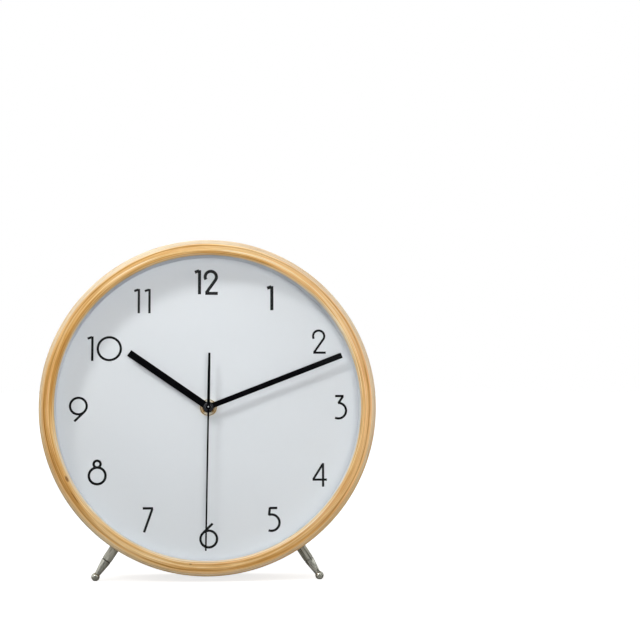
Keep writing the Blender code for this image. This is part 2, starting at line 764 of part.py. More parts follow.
def make_front_shell():
    """A tray, open to the rear, with a hole for the bush, blind holes for two arbors, and four pillars."""
    outline = box_outline(-housing_half_width, housing_half_width, housing_bottom, housing_top, SHELL_CORNER)
    bush_hole = ring_outline(bush_radius + GAP, SMALL_STEPS)
    depth = rear_wall_front - GAP - movement_front
    shell = plate("movement_front_shell", outline, smoke_plastic, depth, [bush_hole], depth=movement_front)
    inside = box_outline(
        SHELL_WALL - housing_half_width,
        housing_half_width - SHELL_WALL,
        housing_bottom + SHELL_WALL,
        housing_top - SHELL_WALL,
        SHELL_CORNER - SHELL_WALL,
    )
    cut(shell, plate("tray", inside, None, depth + OVERRUN, depth=front_wall_back))
    for number, place in enumerate(pillar_places(), 1):
        height = plate_front - GAP - movement_front - SHELL_WALL / 2
        pillar = plate(f"pillar_{number}", ring_outline(PILLAR_RADIUS, FINE_STEPS), None, height,
                       axis=place, depth=movement_front + SHELL_WALL / 2)
        join(shell, pillar)
    for name, place in (("minute", minute_axis), ("knob", knob_axis)):
        pivot = plate(f"{name}_front_pivot", ring_outline(ARBOR_RADIUS + GAP, FINE_STEPS), None,
                      PIVOT_DEPTH + OVERRUN, axis=place, depth=front_wall_back - PIVOT_DEPTH - GAP)
        cut(shell, pivot)


def make_rear_shell():
    """The lid over the gears, with the wall that parts them from the battery's bay."""
    left, right = SHELL_WALL + GAP - housing_half_width, housing_half_width - SHELL_WALL - GAP
    outline = box_outline(-housing_half_width, housing_half_width, bay_wall_bottom, housing_top, SHELL_CORNER)
    knob_hole = ring_outline(STEM_RADIUS + TURN_GAP, SMALL_STEPS, knob_axis)
    shell = plate(
        "movement_rear_shell", outline, smoke_plastic, SHELL_WALL, [knob_hole], depth=rear_wall_front
    )
    wall_back = rear_wall_front + SHELL_WALL / 2
    wall_front = front_wall_back + GAP
    join(shell, box("bay_wall", left, right, bay_wall_bottom + GAP, bay_wall_top, wall_front, wall_back, None))
    pivots = {"third": third_axis, "second": centre_axis, "fifth": fifth_axis, "rotor": rotor_axis}
    for name, place in pivots.items():
        pivot = plate(f"{name}_rear_pivot", ring_outline(ARBOR_RADIUS + GAP, FINE_STEPS), None,
                      PIVOT_DEPTH + GAP + OVERRUN, axis=place, depth=rear_wall_front - OVERRUN)
        cut(shell, pivot)


def make_middle_plate():
    left, bottom = pillar_places()[0]
    right, top = pillar_places()[3]
    outline = box_outline(
        left - PILLAR_RADIUS,
        right + PILLAR_RADIUS,
        bottom - PILLAR_RADIUS,
        top + PILLAR_RADIUS,
        PILLAR_RADIUS,
    )
    holes = [
        ring_outline(minute_pipe_radius + TURN_GAP, SMALL_STEPS),
        ring_outline(STEM_RADIUS + TURN_GAP, SMALL_STEPS, knob_axis),
    ]
    for place in (third_axis, fifth_axis, rotor_axis, minute_axis):
        holes.append(ring_outline(ARBOR_RADIUS + GAP, FINE_STEPS, place))
    plate("middle_plate", outline, white_plastic, PLATE_THICKNESS, holes, depth=plate_front)


def gear(name, teeth, module, phase, layer, axis, finish_of, bore=0.0, overhang=0.0, thickness=GEAR_THICKNESS):
    """A gear at this layer; overhang makes it thicker both ways."""
    holes = [ring_outline(bore, SMALL_STEPS)] if bore else []
    outline = gear_outline(teeth, module, phase)
    return plate(name, outline, finish_of, thickness + 2 * overhang, holes, axis, layer - overhang)


def arbor(name, axis, start, end, radius=ARBOR_RADIUS, finish_of=None):
    return plate(name, ring_outline(radius, FINE_STEPS), finish_of, end - start, axis=axis, depth=start)


def make_motion_work():
    """The gears in front of the middle plate, which turn the minute and hour hands."""
    cannon_phase = MINUTE_WHEEL_DIRECTION
    minute_phase = mesh_phase(cannon_phase, CANNON_TEETH, MINUTE_TEETH, MINUTE_WHEEL_DIRECTION)
    setting_phase = mesh_phase(minute_phase, MINUTE_TEETH, SETTING_TEETH, KNOB_DIRECTION)
    pinion_phase = MINUTE_WHEEL_DIRECTION + math.pi
    hour_phase = mesh_phase(pinion_phase, MINUTE_PINION_TEETH, HOUR_TEETH, pinion_phase)

    pipe = tube_profile(minute_pipe_bore, minute_pipe_radius, minute_hand_front - ARBOR_TIP,
                        centre_layer + GEAR_THICKNESS)
    minute_pipe = turned("minute_pipe", pipe, gear_plastic)
    cannon_bore = (minute_pipe_bore + minute_pipe_radius) / 2
    cannon = gear(
        "cannon", CANNON_TEETH, MOTION_MODULE, cannon_phase, minute_layer, centre_axis, None, cannon_bore
    )
    join(minute_pipe, cannon)

    minute_wheel = arbor("minute_wheel", minute_axis, front_wall_back - PIVOT_DEPTH, plate_back - GAP,
                         finish_of=gear_plastic)
    join(
        minute_wheel,
        gear("minute_rim", MINUTE_TEETH, MOTION_MODULE, minute_phase, minute_layer, minute_axis, None),
        gear("minute_pinion", MINUTE_PINION_TEETH, hour_module, pinion_phase, hour_layer, minute_axis, None,
             thickness=layer_step + GEAR_THICKNESS / 2),
    )

    hour_back = hour_layer + GEAR_THICKNESS
    pipe_front = hour_hand_front - ARBOR_TIP
    pipe = tube_profile(hour_pipe_bore, hour_pipe_radius, pipe_front, hour_back + LAYER_GAP / 2)
    hour_wheel = turned("hour_wheel", pipe, gear_plastic)
    wheel_bore = (hour_pipe_bore + hour_pipe_radius) / 2
    hour_rim = gear("hour_rim", HOUR_TEETH, hour_module, hour_phase, hour_layer, centre_axis, None, wheel_bore)
    join(hour_wheel, hour_rim)

    make_knob(setting_phase)


def make_knob(setting_phase):
    """The fluted setting knob behind the rear shell, its stem and the pinion at its front end."""
    flutes = []
    for i in range(KNOB_FLUTES):
        turn = 2 * math.pi * i / KNOB_FLUTES
        flutes.append(toward((0, 0), turn, KNOB_RADIUS))
        flutes.append(toward((0, 0), turn + math.pi / KNOB_FLUTES, KNOB_RADIUS - KNOB_FLUTE_DEPTH))
    knob_front = movement_back + GAP
    knob = plate("setting_knob", flutes, black_plastic, KNOB_HEIGHT, axis=knob_axis, depth=knob_front)
    stem_front = minute_layer + GEAR_THICKNESS / 2
    stem = arbor("knob_stem", knob_axis, stem_front, knob_front + KNOB_HEIGHT / 2, STEM_RADIUS)
    tip = arbor("knob_tip", knob_axis, front_wall_back - PIVOT_DEPTH, stem_front)
    pinion = gear("knob_pinion", SETTING_TEETH, MOTION_MODULE, setting_phase, minute_layer, knob_axis, None)
    join(knob, stem, pinion, tip)


def make_train():
    """The gears behind the middle plate: from the rotor to the second hand, and on to the centre wheel."""
    arbor_back = rear_wall_front + PIVOT_DEPTH
    second_phase = FIFTH_DIRECTION
    fifth_pinion_phase = mesh_phase(second_phase, SECOND_TEETH, FIFTH_PINION_TEETH, FIFTH_DIRECTION)
    fifth_phase = ROTOR_DIRECTION
    rotor_phase = mesh_phase(fifth_phase, FIFTH_TEETH, ROTOR_TEETH, ROTOR_DIRECTION)
    second_pinion_phase = THIRD_DIRECTION
    third_phase = mesh_phase(second_pinion_phase, SECOND_PINION_TEETH, THIRD_TEETH, THIRD_DIRECTION)
    centre_phase = THIRD_DIRECTION
    third_pinion_phase = mesh_phase(centre_phase, CENTRE_TEETH, THIRD_PINION_TEETH, THIRD_DIRECTION)

    gear("centre_wheel", CENTRE_TEETH, centre_module, centre_phase, centre_layer, centre_axis, gear_plastic,
         bore=minute_pipe_radius + GAP)

    third = arbor("third_wheel", third_axis, plate_front + GAP, arbor_back, finish_of=gear_plastic)
    join(
        third,
        gear("third_rim", THIRD_TEETH, TRAIN_MODULE, third_phase, third_layer, third_axis, None),
        gear("third_pinion", THIRD_PINION_TEETH, centre_module, third_pinion_phase,
             centre_layer - PINION_OVERHANG, third_axis, None,
             thickness=layer_step + GEAR_THICKNESS / 2 + PINION_OVERHANG),
    )

    second_tip = second_hand_front - SECOND_HUB_HEIGHT - ARBOR_TIP
    second = arbor("second_wheel", centre_axis, second_tip, arbor_back, finish_of=steel)
    join(
        second,
        gear("second_rim", SECOND_TEETH, TRAIN_MODULE, second_phase, second_layer, centre_axis, None),
        gear("second_pinion", SECOND_PINION_TEETH, TRAIN_MODULE, second_pinion_phase,
             third_layer - PINION_OVERHANG, centre_axis, None,
             thickness=layer_step + GEAR_THICKNESS / 2 + PINION_OVERHANG),
    )

    fifth = arbor("fifth_wheel", fifth_axis, plate_front + GAP, arbor_back, finish_of=gear_plastic)
    join(
        fifth,
        gear("fifth_rim", FIFTH_TEETH, TRAIN_MODULE, fifth_phase, fifth_layer, fifth_axis, None),
        gear("fifth_pinion", FIFTH_PINION_TEETH, TRAIN_MODULE, fifth_pinion_phase,
             second_layer - PINION_OVERHANG, fifth_axis, None,
             thickness=layer_step + GEAR_THICKNESS / 2 + PINION_OVERHANG),
    )

    rotor = arbor("rotor_arbor", rotor_axis, plate_front + GAP, arbor_back, finish_of=gear_plastic)
    join(rotor, gear("rotor_pinion", ROTOR_TEETH, TRAIN_MODULE, rotor_phase, fifth_layer, rotor_axis, None,
                     overhang=PINION_OVERHANG))
    magnet_front = second_layer - (MAGNET_THICKNESS - GEAR_THICKNESS) / 2
    magnet = tube_profile(ARBOR_RADIUS + HAND_FIT, magnet_radius, 0, MAGNET_THICKNESS)
    turned("rotor_magnet", magnet, magnet_grey, rotor_axis, magnet_front, 2 * FINE_STEPS)


def make_motor():
    """The stator round the rotor, and the coil on its core across the stator's arms."""
    half_coil = COIL_LENGTH / 2
    arm_inside = half_coil + GAP
    left, right = coil_middle - stator_half_width, coil_middle + stator_half_width
    band_bottom = rotor_axis[1] - STATOR_GAP
    band_top = rotor_axis[1] + stator_ring_radius
    top = coil_height + CORE_WIDTH / 2
    dip = math.asin(STATOR_GAP / stator_ring_radius)
    outline = [(left, top), (left, band_bottom)]
    outline += arc(rotor_axis, stator_ring_radius, math.pi + dip, 2 * math.pi - dip, ARC_STEPS)
    outline += [
        (right, band_bottom),
        (right, top),
        (coil_middle + arm_inside, top),
        (coil_middle + arm_inside, band_top),
        (coil_middle - arm_inside, band_top),
        (coil_middle - arm_inside, top),
    ]
    rotor_hole = ring_outline(stator_hole_radius, 2 * FINE_STEPS, rotor_axis)
    plate("stator", outline, steel, GEAR_THICKNESS, [rotor_hole], depth=second_layer)

    core_bottom, core_top = coil_height - CORE_WIDTH / 2, coil_height + CORE_WIDTH / 2
    box("coil_core", left, right, core_bottom, core_top, core_front, core_front + CORE_THICKNESS, steel)

    bore_z, bore_y = CORE_WIDTH / 2 + GAP, CORE_THICKNESS / 2 + GAP
    bobbin = coil_box("coil_bobbin", -half_coil, half_coil, bore_z + BOBBIN_WALL, bore_y + BOBBIN_WALL)
    bobbin.data.materials.append(white_plastic())
    inside = half_coil - BOBBIN_FLANGE_THICKNESS
    for name, start, end in (("left", -half_coil, -inside), ("right", inside, half_coil)):
        join(bobbin, coil_box(f"bobbin_flange_{name}", start, end, bobbin_flange, bobbin_flange))
    reach = half_coil + OVERRUN
    cut(bobbin, coil_box("bobbin_bore", -reach, reach, bore_z, bore_y))

    winding_half = inside - GAP
    profile = rod_profile(COIL_RADIUS, -winding_half, winding_half)
    winding = turned("coil_winding", profile, copper_wire, depth=bobbin_middle, steps=2 * FINE_STEPS)
    point_along(winding, (1, 0, 0), (coil_middle, coil_height))
    wall = BOBBIN_WALL + GAP / 2
    cut(winding, coil_box("winding_hole", -half_coil, half_coil, bore_z + wall, bore_y + wall))


def coil_box(name, start, end, half_height, half_depth):
    """A bare box round the coil's own axis, between these places along it."""
    left, right = coil_middle + start, coil_middle + end
    bottom, top = coil_height - half_height, coil_height + half_height
    return box(name, left, right, bottom, top, bobbin_middle - half_depth, bobbin_middle + half_depth, None)


def make_electronics():
    """The circuit board in the free corner by the coil, with its crystal and the cap over its chip."""
    right = housing_half_width - SHELL_WALL - WHEEL_ROOM
    top = housing_top - SHELL_WALL - WHEEL_ROOM
    left, bottom = right - BOARD_LENGTH, top - BOARD_HEIGHT
    board_front_face = rear_wall_front - GAP - CHIP_CAP_HEIGHT - GAP - CIRCUIT_THICKNESS
    middle = ((left + right) / 2, (bottom + top) / 2)
    board_back_face = board_front_face + CIRCUIT_THICKNESS
    box("circuit_board", left, right, bottom, top, board_front_face, board_back_face, green_laminate)
    profile = rod_profile(CRYSTAL_RADIUS, -CRYSTAL_LENGTH / 2, CRYSTAL_LENGTH / 2)
    crystal_depth = board_front_face - GAP - CRYSTAL_RADIUS
    crystal = turned("quartz_crystal", profile, steel, depth=crystal_depth, steps=FINE_STEPS)
    point_along(crystal, (1, 0, 0), middle)
    cap = [
        (0, 0),
        (CHIP_CAP_RADIUS, 0),
        (CHIP_CAP_RADIUS, CHIP_CAP_HEIGHT / 4),
        (CHIP_CAP_RADIUS / 2, CHIP_CAP_HEIGHT),
        (0, CHIP_CAP_HEIGHT),
    ]
    turned("chip_cap", cap, black_plastic, middle, board_back_face + GAP, SMALL_STEPS)


def make_battery():
    half = BATTERY_LENGTH / 2
    body_end = half - BATTERY_TERMINAL_HEIGHT
    profile = [
        (0, -half),
        (BATTERY_RADIUS - BATTERY_CORNER, -half),
        (BATTERY_RADIUS, BATTERY_CORNER - half),
        (BATTERY_RADIUS, body_end - BATTERY_CORNER),
        (BATTERY_RADIUS - BATTERY_CORNER, body_end),
        (BATTERY_TERMINAL_RADIUS, body_end),
        (BATTERY_TERMINAL_RADIUS, half),
        (0, half),
    ]
    middle = front_wall_back + BATTERY_ROOM + BATTERY_RADIUS
    battery = turned("battery", profile, battery_foil, depth=middle, steps=2 * FINE_STEPS)
    point_along(battery, (1, 0, 0), (battery_middle, battery_height))

    wall = bay_half_width - GAP
    bottom, top = battery_height - CONTACT_HEIGHT / 2, battery_height + CONTACT_HEIGHT / 2
    front, back = middle - CONTACT_WIDTH / 2, middle + CONTACT_WIDTH / 2
    box("contact_positive", wall - CONTACT_THICKNESS, wall, bottom, top, front, back, steel)
    bow = battery_middle - half - GAP
    outline = [
        (-wall, bottom),
        (CONTACT_THICKNESS - wall, bottom),
        (bow, battery_height - CONTACT_THICKNESS),
        (bow, battery_height + CONTACT_THICKNESS),
        (CONTACT_THICKNESS - wall, top),
        (-wall, top),
        (-wall, top - CONTACT_THICKNESS),
        (bow - CONTACT_THICKNESS, battery_height),
        (-wall, bottom + CONTACT_THICKNESS),
    ]
    plate("contact_negative", outline, steel, CONTACT_WIDTH, depth=front)


def hand_outline(points):
    """Closes one side's (across, along) points, which run from tip to tail, with their mirror image."""
    return points + [(-across, along) for across, along in reversed(points)]


def hub_side(radius, start, end):
    """One side of a hub's circle, as (across, along) points between two half widths, tip end first."""
    return arc((0, 0), radius, math.acos(start / radius), -math.acos(end / radius), ARC_STEPS)


def hand(name, points, hole, angle, front):
    """A flat hand that points up until it is turned clockwise by this angle."""
    piece = plate(name, hand_outline(points), black_gloss, HAND_THICKNESS, [ring_outline(hole, SMALL_STEPS)],
                  depth=front)
    piece.rotation_euler.y = angle
    return piece


def bar_hand(name, width, length, hole, angle, front):
    """A hand with a straight bar and a round hub."""
    side = [(width / 2, length)] + hub_side(hand_hub_radius, width / 2, HAND_FIT)
    hand(name, side, hole + HAND_FIT, angle, front)


def make_hands():
    bar_hand(
        "hour_hand",
        HOUR_HAND_WIDTH,
        hour_hand_length,
        hour_pipe_radius,
        HOUR_HAND_ANGLE,
        hour_hand_front,
    )
    bar_hand(
        "minute_hand",
        MINUTE_HAND_WIDTH,
        minute_hand_length,
        minute_pipe_radius,
        MINUTE_HAND_ANGLE,
        minute_hand_front,
    )

    pointer, tip, tail = SECOND_POINTER_WIDTH / 2, SECOND_TIP_WIDTH / 2, SECOND_TAIL_WIDTH / 2
    side = [(tip, second_hand_length)]
    side += hub_side(SECOND_HUB_RADIUS, pointer, tail)
    side += [(tail, -SECOND_HAND_TAIL)]
    hand("second_hand", side, ARBOR_RADIUS + HAND_FIT, SECOND_HAND_ANGLE, second_hand_front)
    hub_back = second_hand_front - HAND_FIT
    hub = [
        (ARBOR_RADIUS + HAND_FIT, hub_back - SECOND_HUB_HEIGHT),
        (SECOND_HUB_RADIUS - HAND_FIT, hub_back - SECOND_HUB_HEIGHT),
        (SECOND_HUB_RADIUS, hub_back - SECOND_HUB_HEIGHT + HAND_FIT),
        (SECOND_HUB_RADIUS, hub_back),
        (ARBOR_RADIUS + HAND_FIT, hub_back),
    ]
    turned("second_hand_hub", hub, black_gloss)


def stand_clock():
    """Leans the whole clock back and sets it on the ground, with its outline centred over the origin."""
    along, rise = math.cos(lean), math.sin(lean)
    points = [(radius, depth - case_depth / 2) for radius, depth in rim_profile()]
    front = min(depth * along - radius * rise for radius, depth in points)
    back = max(depth * along + radius * rise for radius, depth in points)
    ball_depth = leg_depth - case_depth / 2
    lowest = -ball_depth * rise - ball_drop * along - BALL_RADIUS + FOOT_FLAT
    clock.rotation_euler.x = -lean
    clock.location = (0, -(front + back) / 2, -lowest)


clear_scene()
clock = bpy.data.objects.new("clock", None)
bpy.context.scene.collection.objects.link(clock)
make_case()
make_dial()
make_legs()
make_blocks()
make_cover()
make_screws()
make_centre_fittings()
make_front_shell()
make_rear_shell()
make_middle_plate()
make_motion_work()
make_train()
make_motor()
make_electronics()
make_battery()
make_hands()
stand_clock()
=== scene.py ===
import json
import math

import bmesh
import bpy
from mathutils import Matrix, Vector


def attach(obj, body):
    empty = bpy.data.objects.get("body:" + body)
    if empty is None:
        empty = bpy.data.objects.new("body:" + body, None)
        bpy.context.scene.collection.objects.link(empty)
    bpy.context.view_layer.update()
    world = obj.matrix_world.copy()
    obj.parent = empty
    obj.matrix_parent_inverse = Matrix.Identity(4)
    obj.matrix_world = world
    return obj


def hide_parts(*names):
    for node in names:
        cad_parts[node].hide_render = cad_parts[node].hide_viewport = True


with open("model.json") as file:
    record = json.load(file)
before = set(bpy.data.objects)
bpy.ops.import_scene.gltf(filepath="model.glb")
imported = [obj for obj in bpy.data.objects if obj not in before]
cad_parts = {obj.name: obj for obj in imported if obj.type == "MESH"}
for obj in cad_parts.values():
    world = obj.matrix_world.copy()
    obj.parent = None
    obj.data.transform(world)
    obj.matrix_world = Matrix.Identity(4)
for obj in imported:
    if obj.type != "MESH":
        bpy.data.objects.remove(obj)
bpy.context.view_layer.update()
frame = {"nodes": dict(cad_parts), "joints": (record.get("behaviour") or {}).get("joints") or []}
nodes = frame["nodes"]

# Pieces are made in millimetres, in the case's own across, depth and height, with the
# depth counted from the front of the wood. The case leans back, so a last step turns
# each piece, and brings it to metres in the room.
handFront = 9.9  # depth of the minute hand's front face, where its joint is stated
handJoint = [joint for joint in frame["joints"] if joint["name"] == "minute_hand_turn"][0]
axle = Vector(handJoint["axis"])
lean = math.atan2(-axle.z, axle.y)
caseFront = Vector(handJoint["pos_m"]) - axle * handFront * 0.001
caseToRoom = (
    Matrix.Translation(caseFront) @ Matrix.Rotation(-lean, 4, "X") @ Matrix.Scale(0.001, 4)
)


# Ways of working

def makeActive(piece):
    bpy.ops.object.select_all(action="DESELECT")
    piece.select_set(True)
    bpy.context.view_layer.objects.active = piece


def choose(piece, kind, wanted):
    # in edit mode, selects the points or edges that pass
    mode = {"verts": "VERT", "edges": "EDGE"}[kind]
    bpy.ops.mesh.select_mode(type=mode)
    bpy.ops.mesh.select_all(action="DESELECT")
    shape = bmesh.from_edit_mesh(piece.data)
    for part in getattr(shape, kind):
        if wanted(part):
            part.select_set(True)
    shape.select_flush_mode()
    bmesh.update_edit_mesh(piece.data)


def chooseAll():
    bpy.ops.mesh.select_mode(type="VERT")
    bpy.ops.mesh.select_all(action="SELECT")


def drawOutline(name, corners):
    # one point, extruded from corner to corner and then closed and filled
    bpy.ops.object.select_all(action="DESELECT")
    bpy.ops.mesh.primitive_plane_add(size=1)
    piece = bpy.context.object
    piece.name = name
    piece.data.name = name
    bpy.ops.object.mode_set(mode="EDIT")
    chooseAll()
    bpy.ops.mesh.merge(type="CENTER")
    bpy.ops.transform.translate(value=corners[0])
    for here, there in zip(corners, corners[1:]):
        step = [b - a for a, b in zip(here, there)]
        bpy.ops.mesh.extrude_vertices_move(TRANSFORM_OT_translate={"value": step})
    choose(piece, "verts", lambda point: len(point.link_edges) == 1)
    bpy.ops.mesh.edge_face_add()
    chooseAll()
    bpy.ops.mesh.edge_face_add()
    return piece


def roundCorners(piece, rounds):
    # each round is a corner's place, its size and its cuts
    for place, size, cuts in rounds:
        spot = Vector(place)
        choose(piece, "verts", lambda point: (point.co - spot).length < 0.001)
        bpy.ops.mesh.bevel(affect="VERTICES", offset=size, segments=cuts, profile=0.5)


def turnPiece(name, corners, rounds=(), steps=96):
    # a section of (radius, depth) corners, spun about the depth axis
    piece = drawOutline(name, [(radius, depth, 0) for radius, depth in corners])
    roundCorners(piece, [((*corners[number], 0), size, cuts) for number, size, cuts in rounds])
    chooseAll()
    bpy.ops.mesh.delete(type="ONLY_FACE")
    choose(piece, "edges", lambda edge: max(point.co.x for point in edge.verts) < 0.001)
    bpy.ops.mesh.delete(type="EDGE")
    chooseAll()
    bpy.ops.mesh.spin(
        steps=steps, angle=2 * math.pi, center=(0, 0, 0), axis=(0, 1, 0), use_auto_merge=True
    )
    chooseAll()
    bpy.ops.mesh.remove_doubles(threshold=0.0005)
    chooseAll()
    bpy.ops.mesh.normals_make_consistent(inside=False)
    bpy.ops.object.mode_set(mode="OBJECT")
    return piece


def ringSection(inner, outer, front, back):
    return [(inner, front), (outer, front), (outer, back), (inner, back)]


def cutSheet(name, outline, thickness, rounds=()):
    # a flat outline of (across, height) corners, with its thickness behind it
    piece = drawOutline(name, [(across, 0, height) for across, height in outline])
    roundCorners(piece, [((place[0], 0, place[1]), size, cuts) for place, size, cuts in rounds])
    chooseAll()
    bpy.ops.mesh.extrude_region_move(TRANSFORM_OT_translate={"value": (0, thickness, 0)})
    chooseAll()
    bpy.ops.mesh.normals_make_consistent(inside=False)
    bpy.ops.object.mode_set(mode="OBJECT")
    return piece


def cutAway(piece, tool):
    makeActive(piece)
    change = piece.modifiers.new("tool", "BOOLEAN")
    change.operation = "DIFFERENCE"
    change.object = tool
    change.solver = "EXACT"
    bpy.ops.object.modifier_apply(modifier=change.name)
    bpy.data.objects.remove(tool)


def drill(piece, radius, across=0, height=0, steps=48):
    # right through, whatever the piece's thickness
    bpy.ops.object.select_all(action="DESELECT")
    bpy.ops.mesh.primitive_cylinder_add(
        vertices=steps,
        radius=radius,
        depth=200,
        location=(across, 0, height),
        rotation=(math.pi / 2, 0, 0),
    )
    cutAway(piece, bpy.context.object)


def softenEdges(piece, width, cuts=3, angle=40):
    makeActive(piece)
    change = piece.modifiers.new("soft edges", "BEVEL")
    change.width = width
    change.segments = cuts
    change.limit_method = "ANGLE"
    change.angle_limit = math.radians(angle)
    bpy.ops.object.modifier_apply(modifier=change.name)


def putInCase(piece, body, finish, across=0, depth=0, height=0, turned=None, smooth=32):
    place = Matrix.Translation((across, depth, height))
    piece.matrix_world = caseToRoom @ place @ (turned or Matrix())
    makeActive(piece)
    bpy.ops.object.transform_apply(location=True, rotation=True, scale=True)
    bpy.ops.object.shade_smooth_by_angle(angle=math.radians(smooth))
    piece.data.materials.clear()
    piece.data.materials.append(finish)
    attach(piece, body)


def trimAtFloor(piece):
    # what the clock stands on is cut flat at the floor
    makeActive(piece)
    bpy.ops.object.mode_set(mode="EDIT")
    chooseAll()
    bpy.ops.mesh.bisect(
        plane_co=(0, 0, 0), plane_no=(0, 0, 1), use_fill=True, clear_inner=True, threshold=1e-7
    )
    bpy.ops.object.mode_set(mode="OBJECT")


# Finishes

def paint(red, green, blue):
    # a colour as seen on a screen, 0 to 255, in the renderer's own numbers
    parts = []
    for value in (red, green, blue):
        share = value / 255
        parts.append(share / 12.92 if share <= 0.04045 else ((share + 0.055) / 1.055) ** 2.4)
    return (*parts, 1)


class Wire:
    # a node's output; sums on it add Math nodes

    def __init__(self, finish, socket):
        self.finish = finish
        self.socket = socket

    def maths(self, operation, *values):
        return self.finish.maths(operation, *values)

    def __add__(self, other):
        return self.maths("ADD", self, other)

    __radd__ = __add__

    def __sub__(self, other):
        return self.maths("SUBTRACT", self, other)

    def __rsub__(self, other):
        return self.maths("SUBTRACT", other, self)

    def __mul__(self, other):
        return self.maths("MULTIPLY", self, other)

    __rmul__ = __mul__

    def __truediv__(self, other):
        return self.maths("DIVIDE", self, other)

    def __pow__(self, other):
        return self.maths("POWER", self, other)

    def __gt__(self, other):
        return self.maths("GREATER_THAN", self, other)

    def __lt__(self, other):
        return self.maths("LESS_THAN", self, other)

    def size(self):
        return self.maths("ABSOLUTE", self)

    def wave(self):
        return self.maths("SINE", self)

    def between(self, low, high):
        # 0 at low, 1 at high, smooth on the way
        values = {"Value": self, "From Min": low, "From Max": high}
        return self.finish.add("ShaderNodeMapRange", {"interpolation_type": "SMOOTHSTEP"}, values)


class Finish:
    # a material, or the room's light, in the making

    def __init__(self, name, tree=None):
        if tree is None:
            self.material = bpy.data.materials.new(name)
            self.material.use_nodes = True
            tree = self.material.node_tree
        self.tree = tree
        tree.nodes.clear()

    def add(self, kind, settings, values, output=0):
        node = self.tree.nodes.new(kind)
        for setting, value in settings.items():
            if setting == "stops":
                self.setStops(node.color_ramp, value)
            else:
                setattr(node, setting, value)
        for socket, value in values.items():
            if isinstance(value, Wire):
                self.tree.links.new(value.socket, node.inputs[socket])
            elif value is not None:
                node.inputs[socket].default_value = value
        return Wire(self, node.outputs[output]) if node.outputs else None

    def setStops(self, ramp, stops):
        while len(ramp.elements) > 1:
            ramp.elements.remove(ramp.elements[-1])
        ramp.elements[0].position, ramp.elements[0].color = stops[0]
        for place, colour in stops[1:]:
            ramp.elements.new(place).color = colour

    def maths(self, operation, *values):
        return self.add("ShaderNodeMath", {"operation": operation}, dict(enumerate(values)))

    def caseSpot(self, across=0, depth=0, height=0):
        # the case's own millimetres, seen from this place in the case
        start = caseToRoom @ Vector((across, depth, height))
        spot = self.add("ShaderNodeTexCoord", {}, {}, "Object")
        values = {"Vector": spot, "Location": start, "Rotation": (-lean, 0, 0), "Scale": (0.001,) * 3}
        return self.add("ShaderNodeMapping", {"vector_type": "TEXTURE"}, values)

    def split(self, vector):
        made = self.add("ShaderNodeSeparateXYZ", {}, {"Vector": vector})
        return [Wire(self, socket) for socket in made.socket.node.outputs]

    def join(self, *values):
        return self.add("ShaderNodeCombineXYZ", {}, dict(enumerate(values)))

    def stretch(self, vector, scale):
        values = {0: vector, 1: scale}
        return self.add("ShaderNodeVectorMath", {"operation": "MULTIPLY"}, values)

    def cloud(self, vector, scale=1.0, detail=2.0, roughness=0.5, turn=None, distortion=0.0):
        # soft noise from 0 to 1; turn is a fourth coordinate
        settings = {"noise_dimensions": "3D" if turn is None else "4D"}
        values = {
            "Vector": vector,
            "Scale": scale,
            "Detail": detail,
            "Roughness": roughness,
            "Distortion": distortion,
        }
        if turn is not None:
            values["W"] = turn
        return self.add("ShaderNodeTexNoise", settings, values)

    def shades(self, value, *stops):
        # stops are (place, colour)
        return self.add("ShaderNodeValToRGB", {"stops": stops}, {0: value})

    def over(self, base, top, share, kind="MIX"):
        # one colour over another; inputs 6 and 7 and output 2 are the colour ones
        settings = {"data_type": "RGBA", "blend_type": kind}
        return self.add("ShaderNodeMix", settings, {0: share, 6: base, 7: top}, 2)

    def raised(self, height, distance, strength=1.0):
        # height from 0 to 1 over this many metres
        values = {"Height": height, "Distance": distance, "Strength": strength}
        return self.add("ShaderNodeBump", {}, values)

    def done(self, colour, roughness, **sockets):
        values = {"Base Color": colour, "Roughness": roughness}
        for name, value in sockets.items():
            values[name.replace("_", " ")] = value
        shader = self.add("ShaderNodeBsdfPrincipled", {}, values)
        self.add("ShaderNodeOutputMaterial", {}, {"Surface": shader})
        return self.material


def aroundAxle(finish, spot):
    # how far from the axis a spot is, and which way, as a cosine and a sine
    across, depth, height = finish.split(spot)
    radius = (across * across + height * height) ** 0.5
    return radius, across / radius, height / radius, depth


rimLook = {
    "deep": paint(162, 106, 36),
    "middle": paint(220, 167, 90),
    "peach": paint(240, 182, 126),
    "pale": paint(252, 219, 158),
    "cream": paint(255, 240, 208),
    "ash": paint(216, 198, 170),
    "line": paint(136, 88, 36),
    "knot": paint(104, 58, 26),
    # each veneer's outer radius, and its tone from 0, deep, to 1, pale
    "veneers": (
        (91.8, 1.0), (92.7, 0.66), (93.6, 0.48), (94.3, 0.66), (95.1, 0.53), (95.5, 0.64),
        (96.2, 0.46), (96.8, 0.38), (97.6, 0.58), (98.3, 0.68), (99.1, 0.86), (100.5, 1.0),
    ),
    "glueLine": 96.2,
    # each grain's scale outwards, in depth and round the hoop, its detail and its roughness
    "grains": {
        "threads": (4.2, 1.2, 5, 4.0, 0.7),
        "streaks": (1.9, 0.7, 4, 5.0, 0.66),
        "fibres": (9, 3.0, 14, 3.0, 0.6),
        "broad": (0.3, 0.02, 1.7, 2.0, 0.5),
        "ribbons": (1.1, 0.3, 1.4, 2.0, 0.5),
        "rosy": (1.3, 0.3, 1.6, 3.0, 0.6),
        "pores": (0.5, 5, 16, 3.0, 0.7),
    },
    # angle clockwise from 12, radius, length, width
    "marks": ((242.7, 93.1, 2.2, 0.8), (235.5, 94.7, 4.6, 0.28), (186.3, 93.2, 1.0, 0.3)),
}


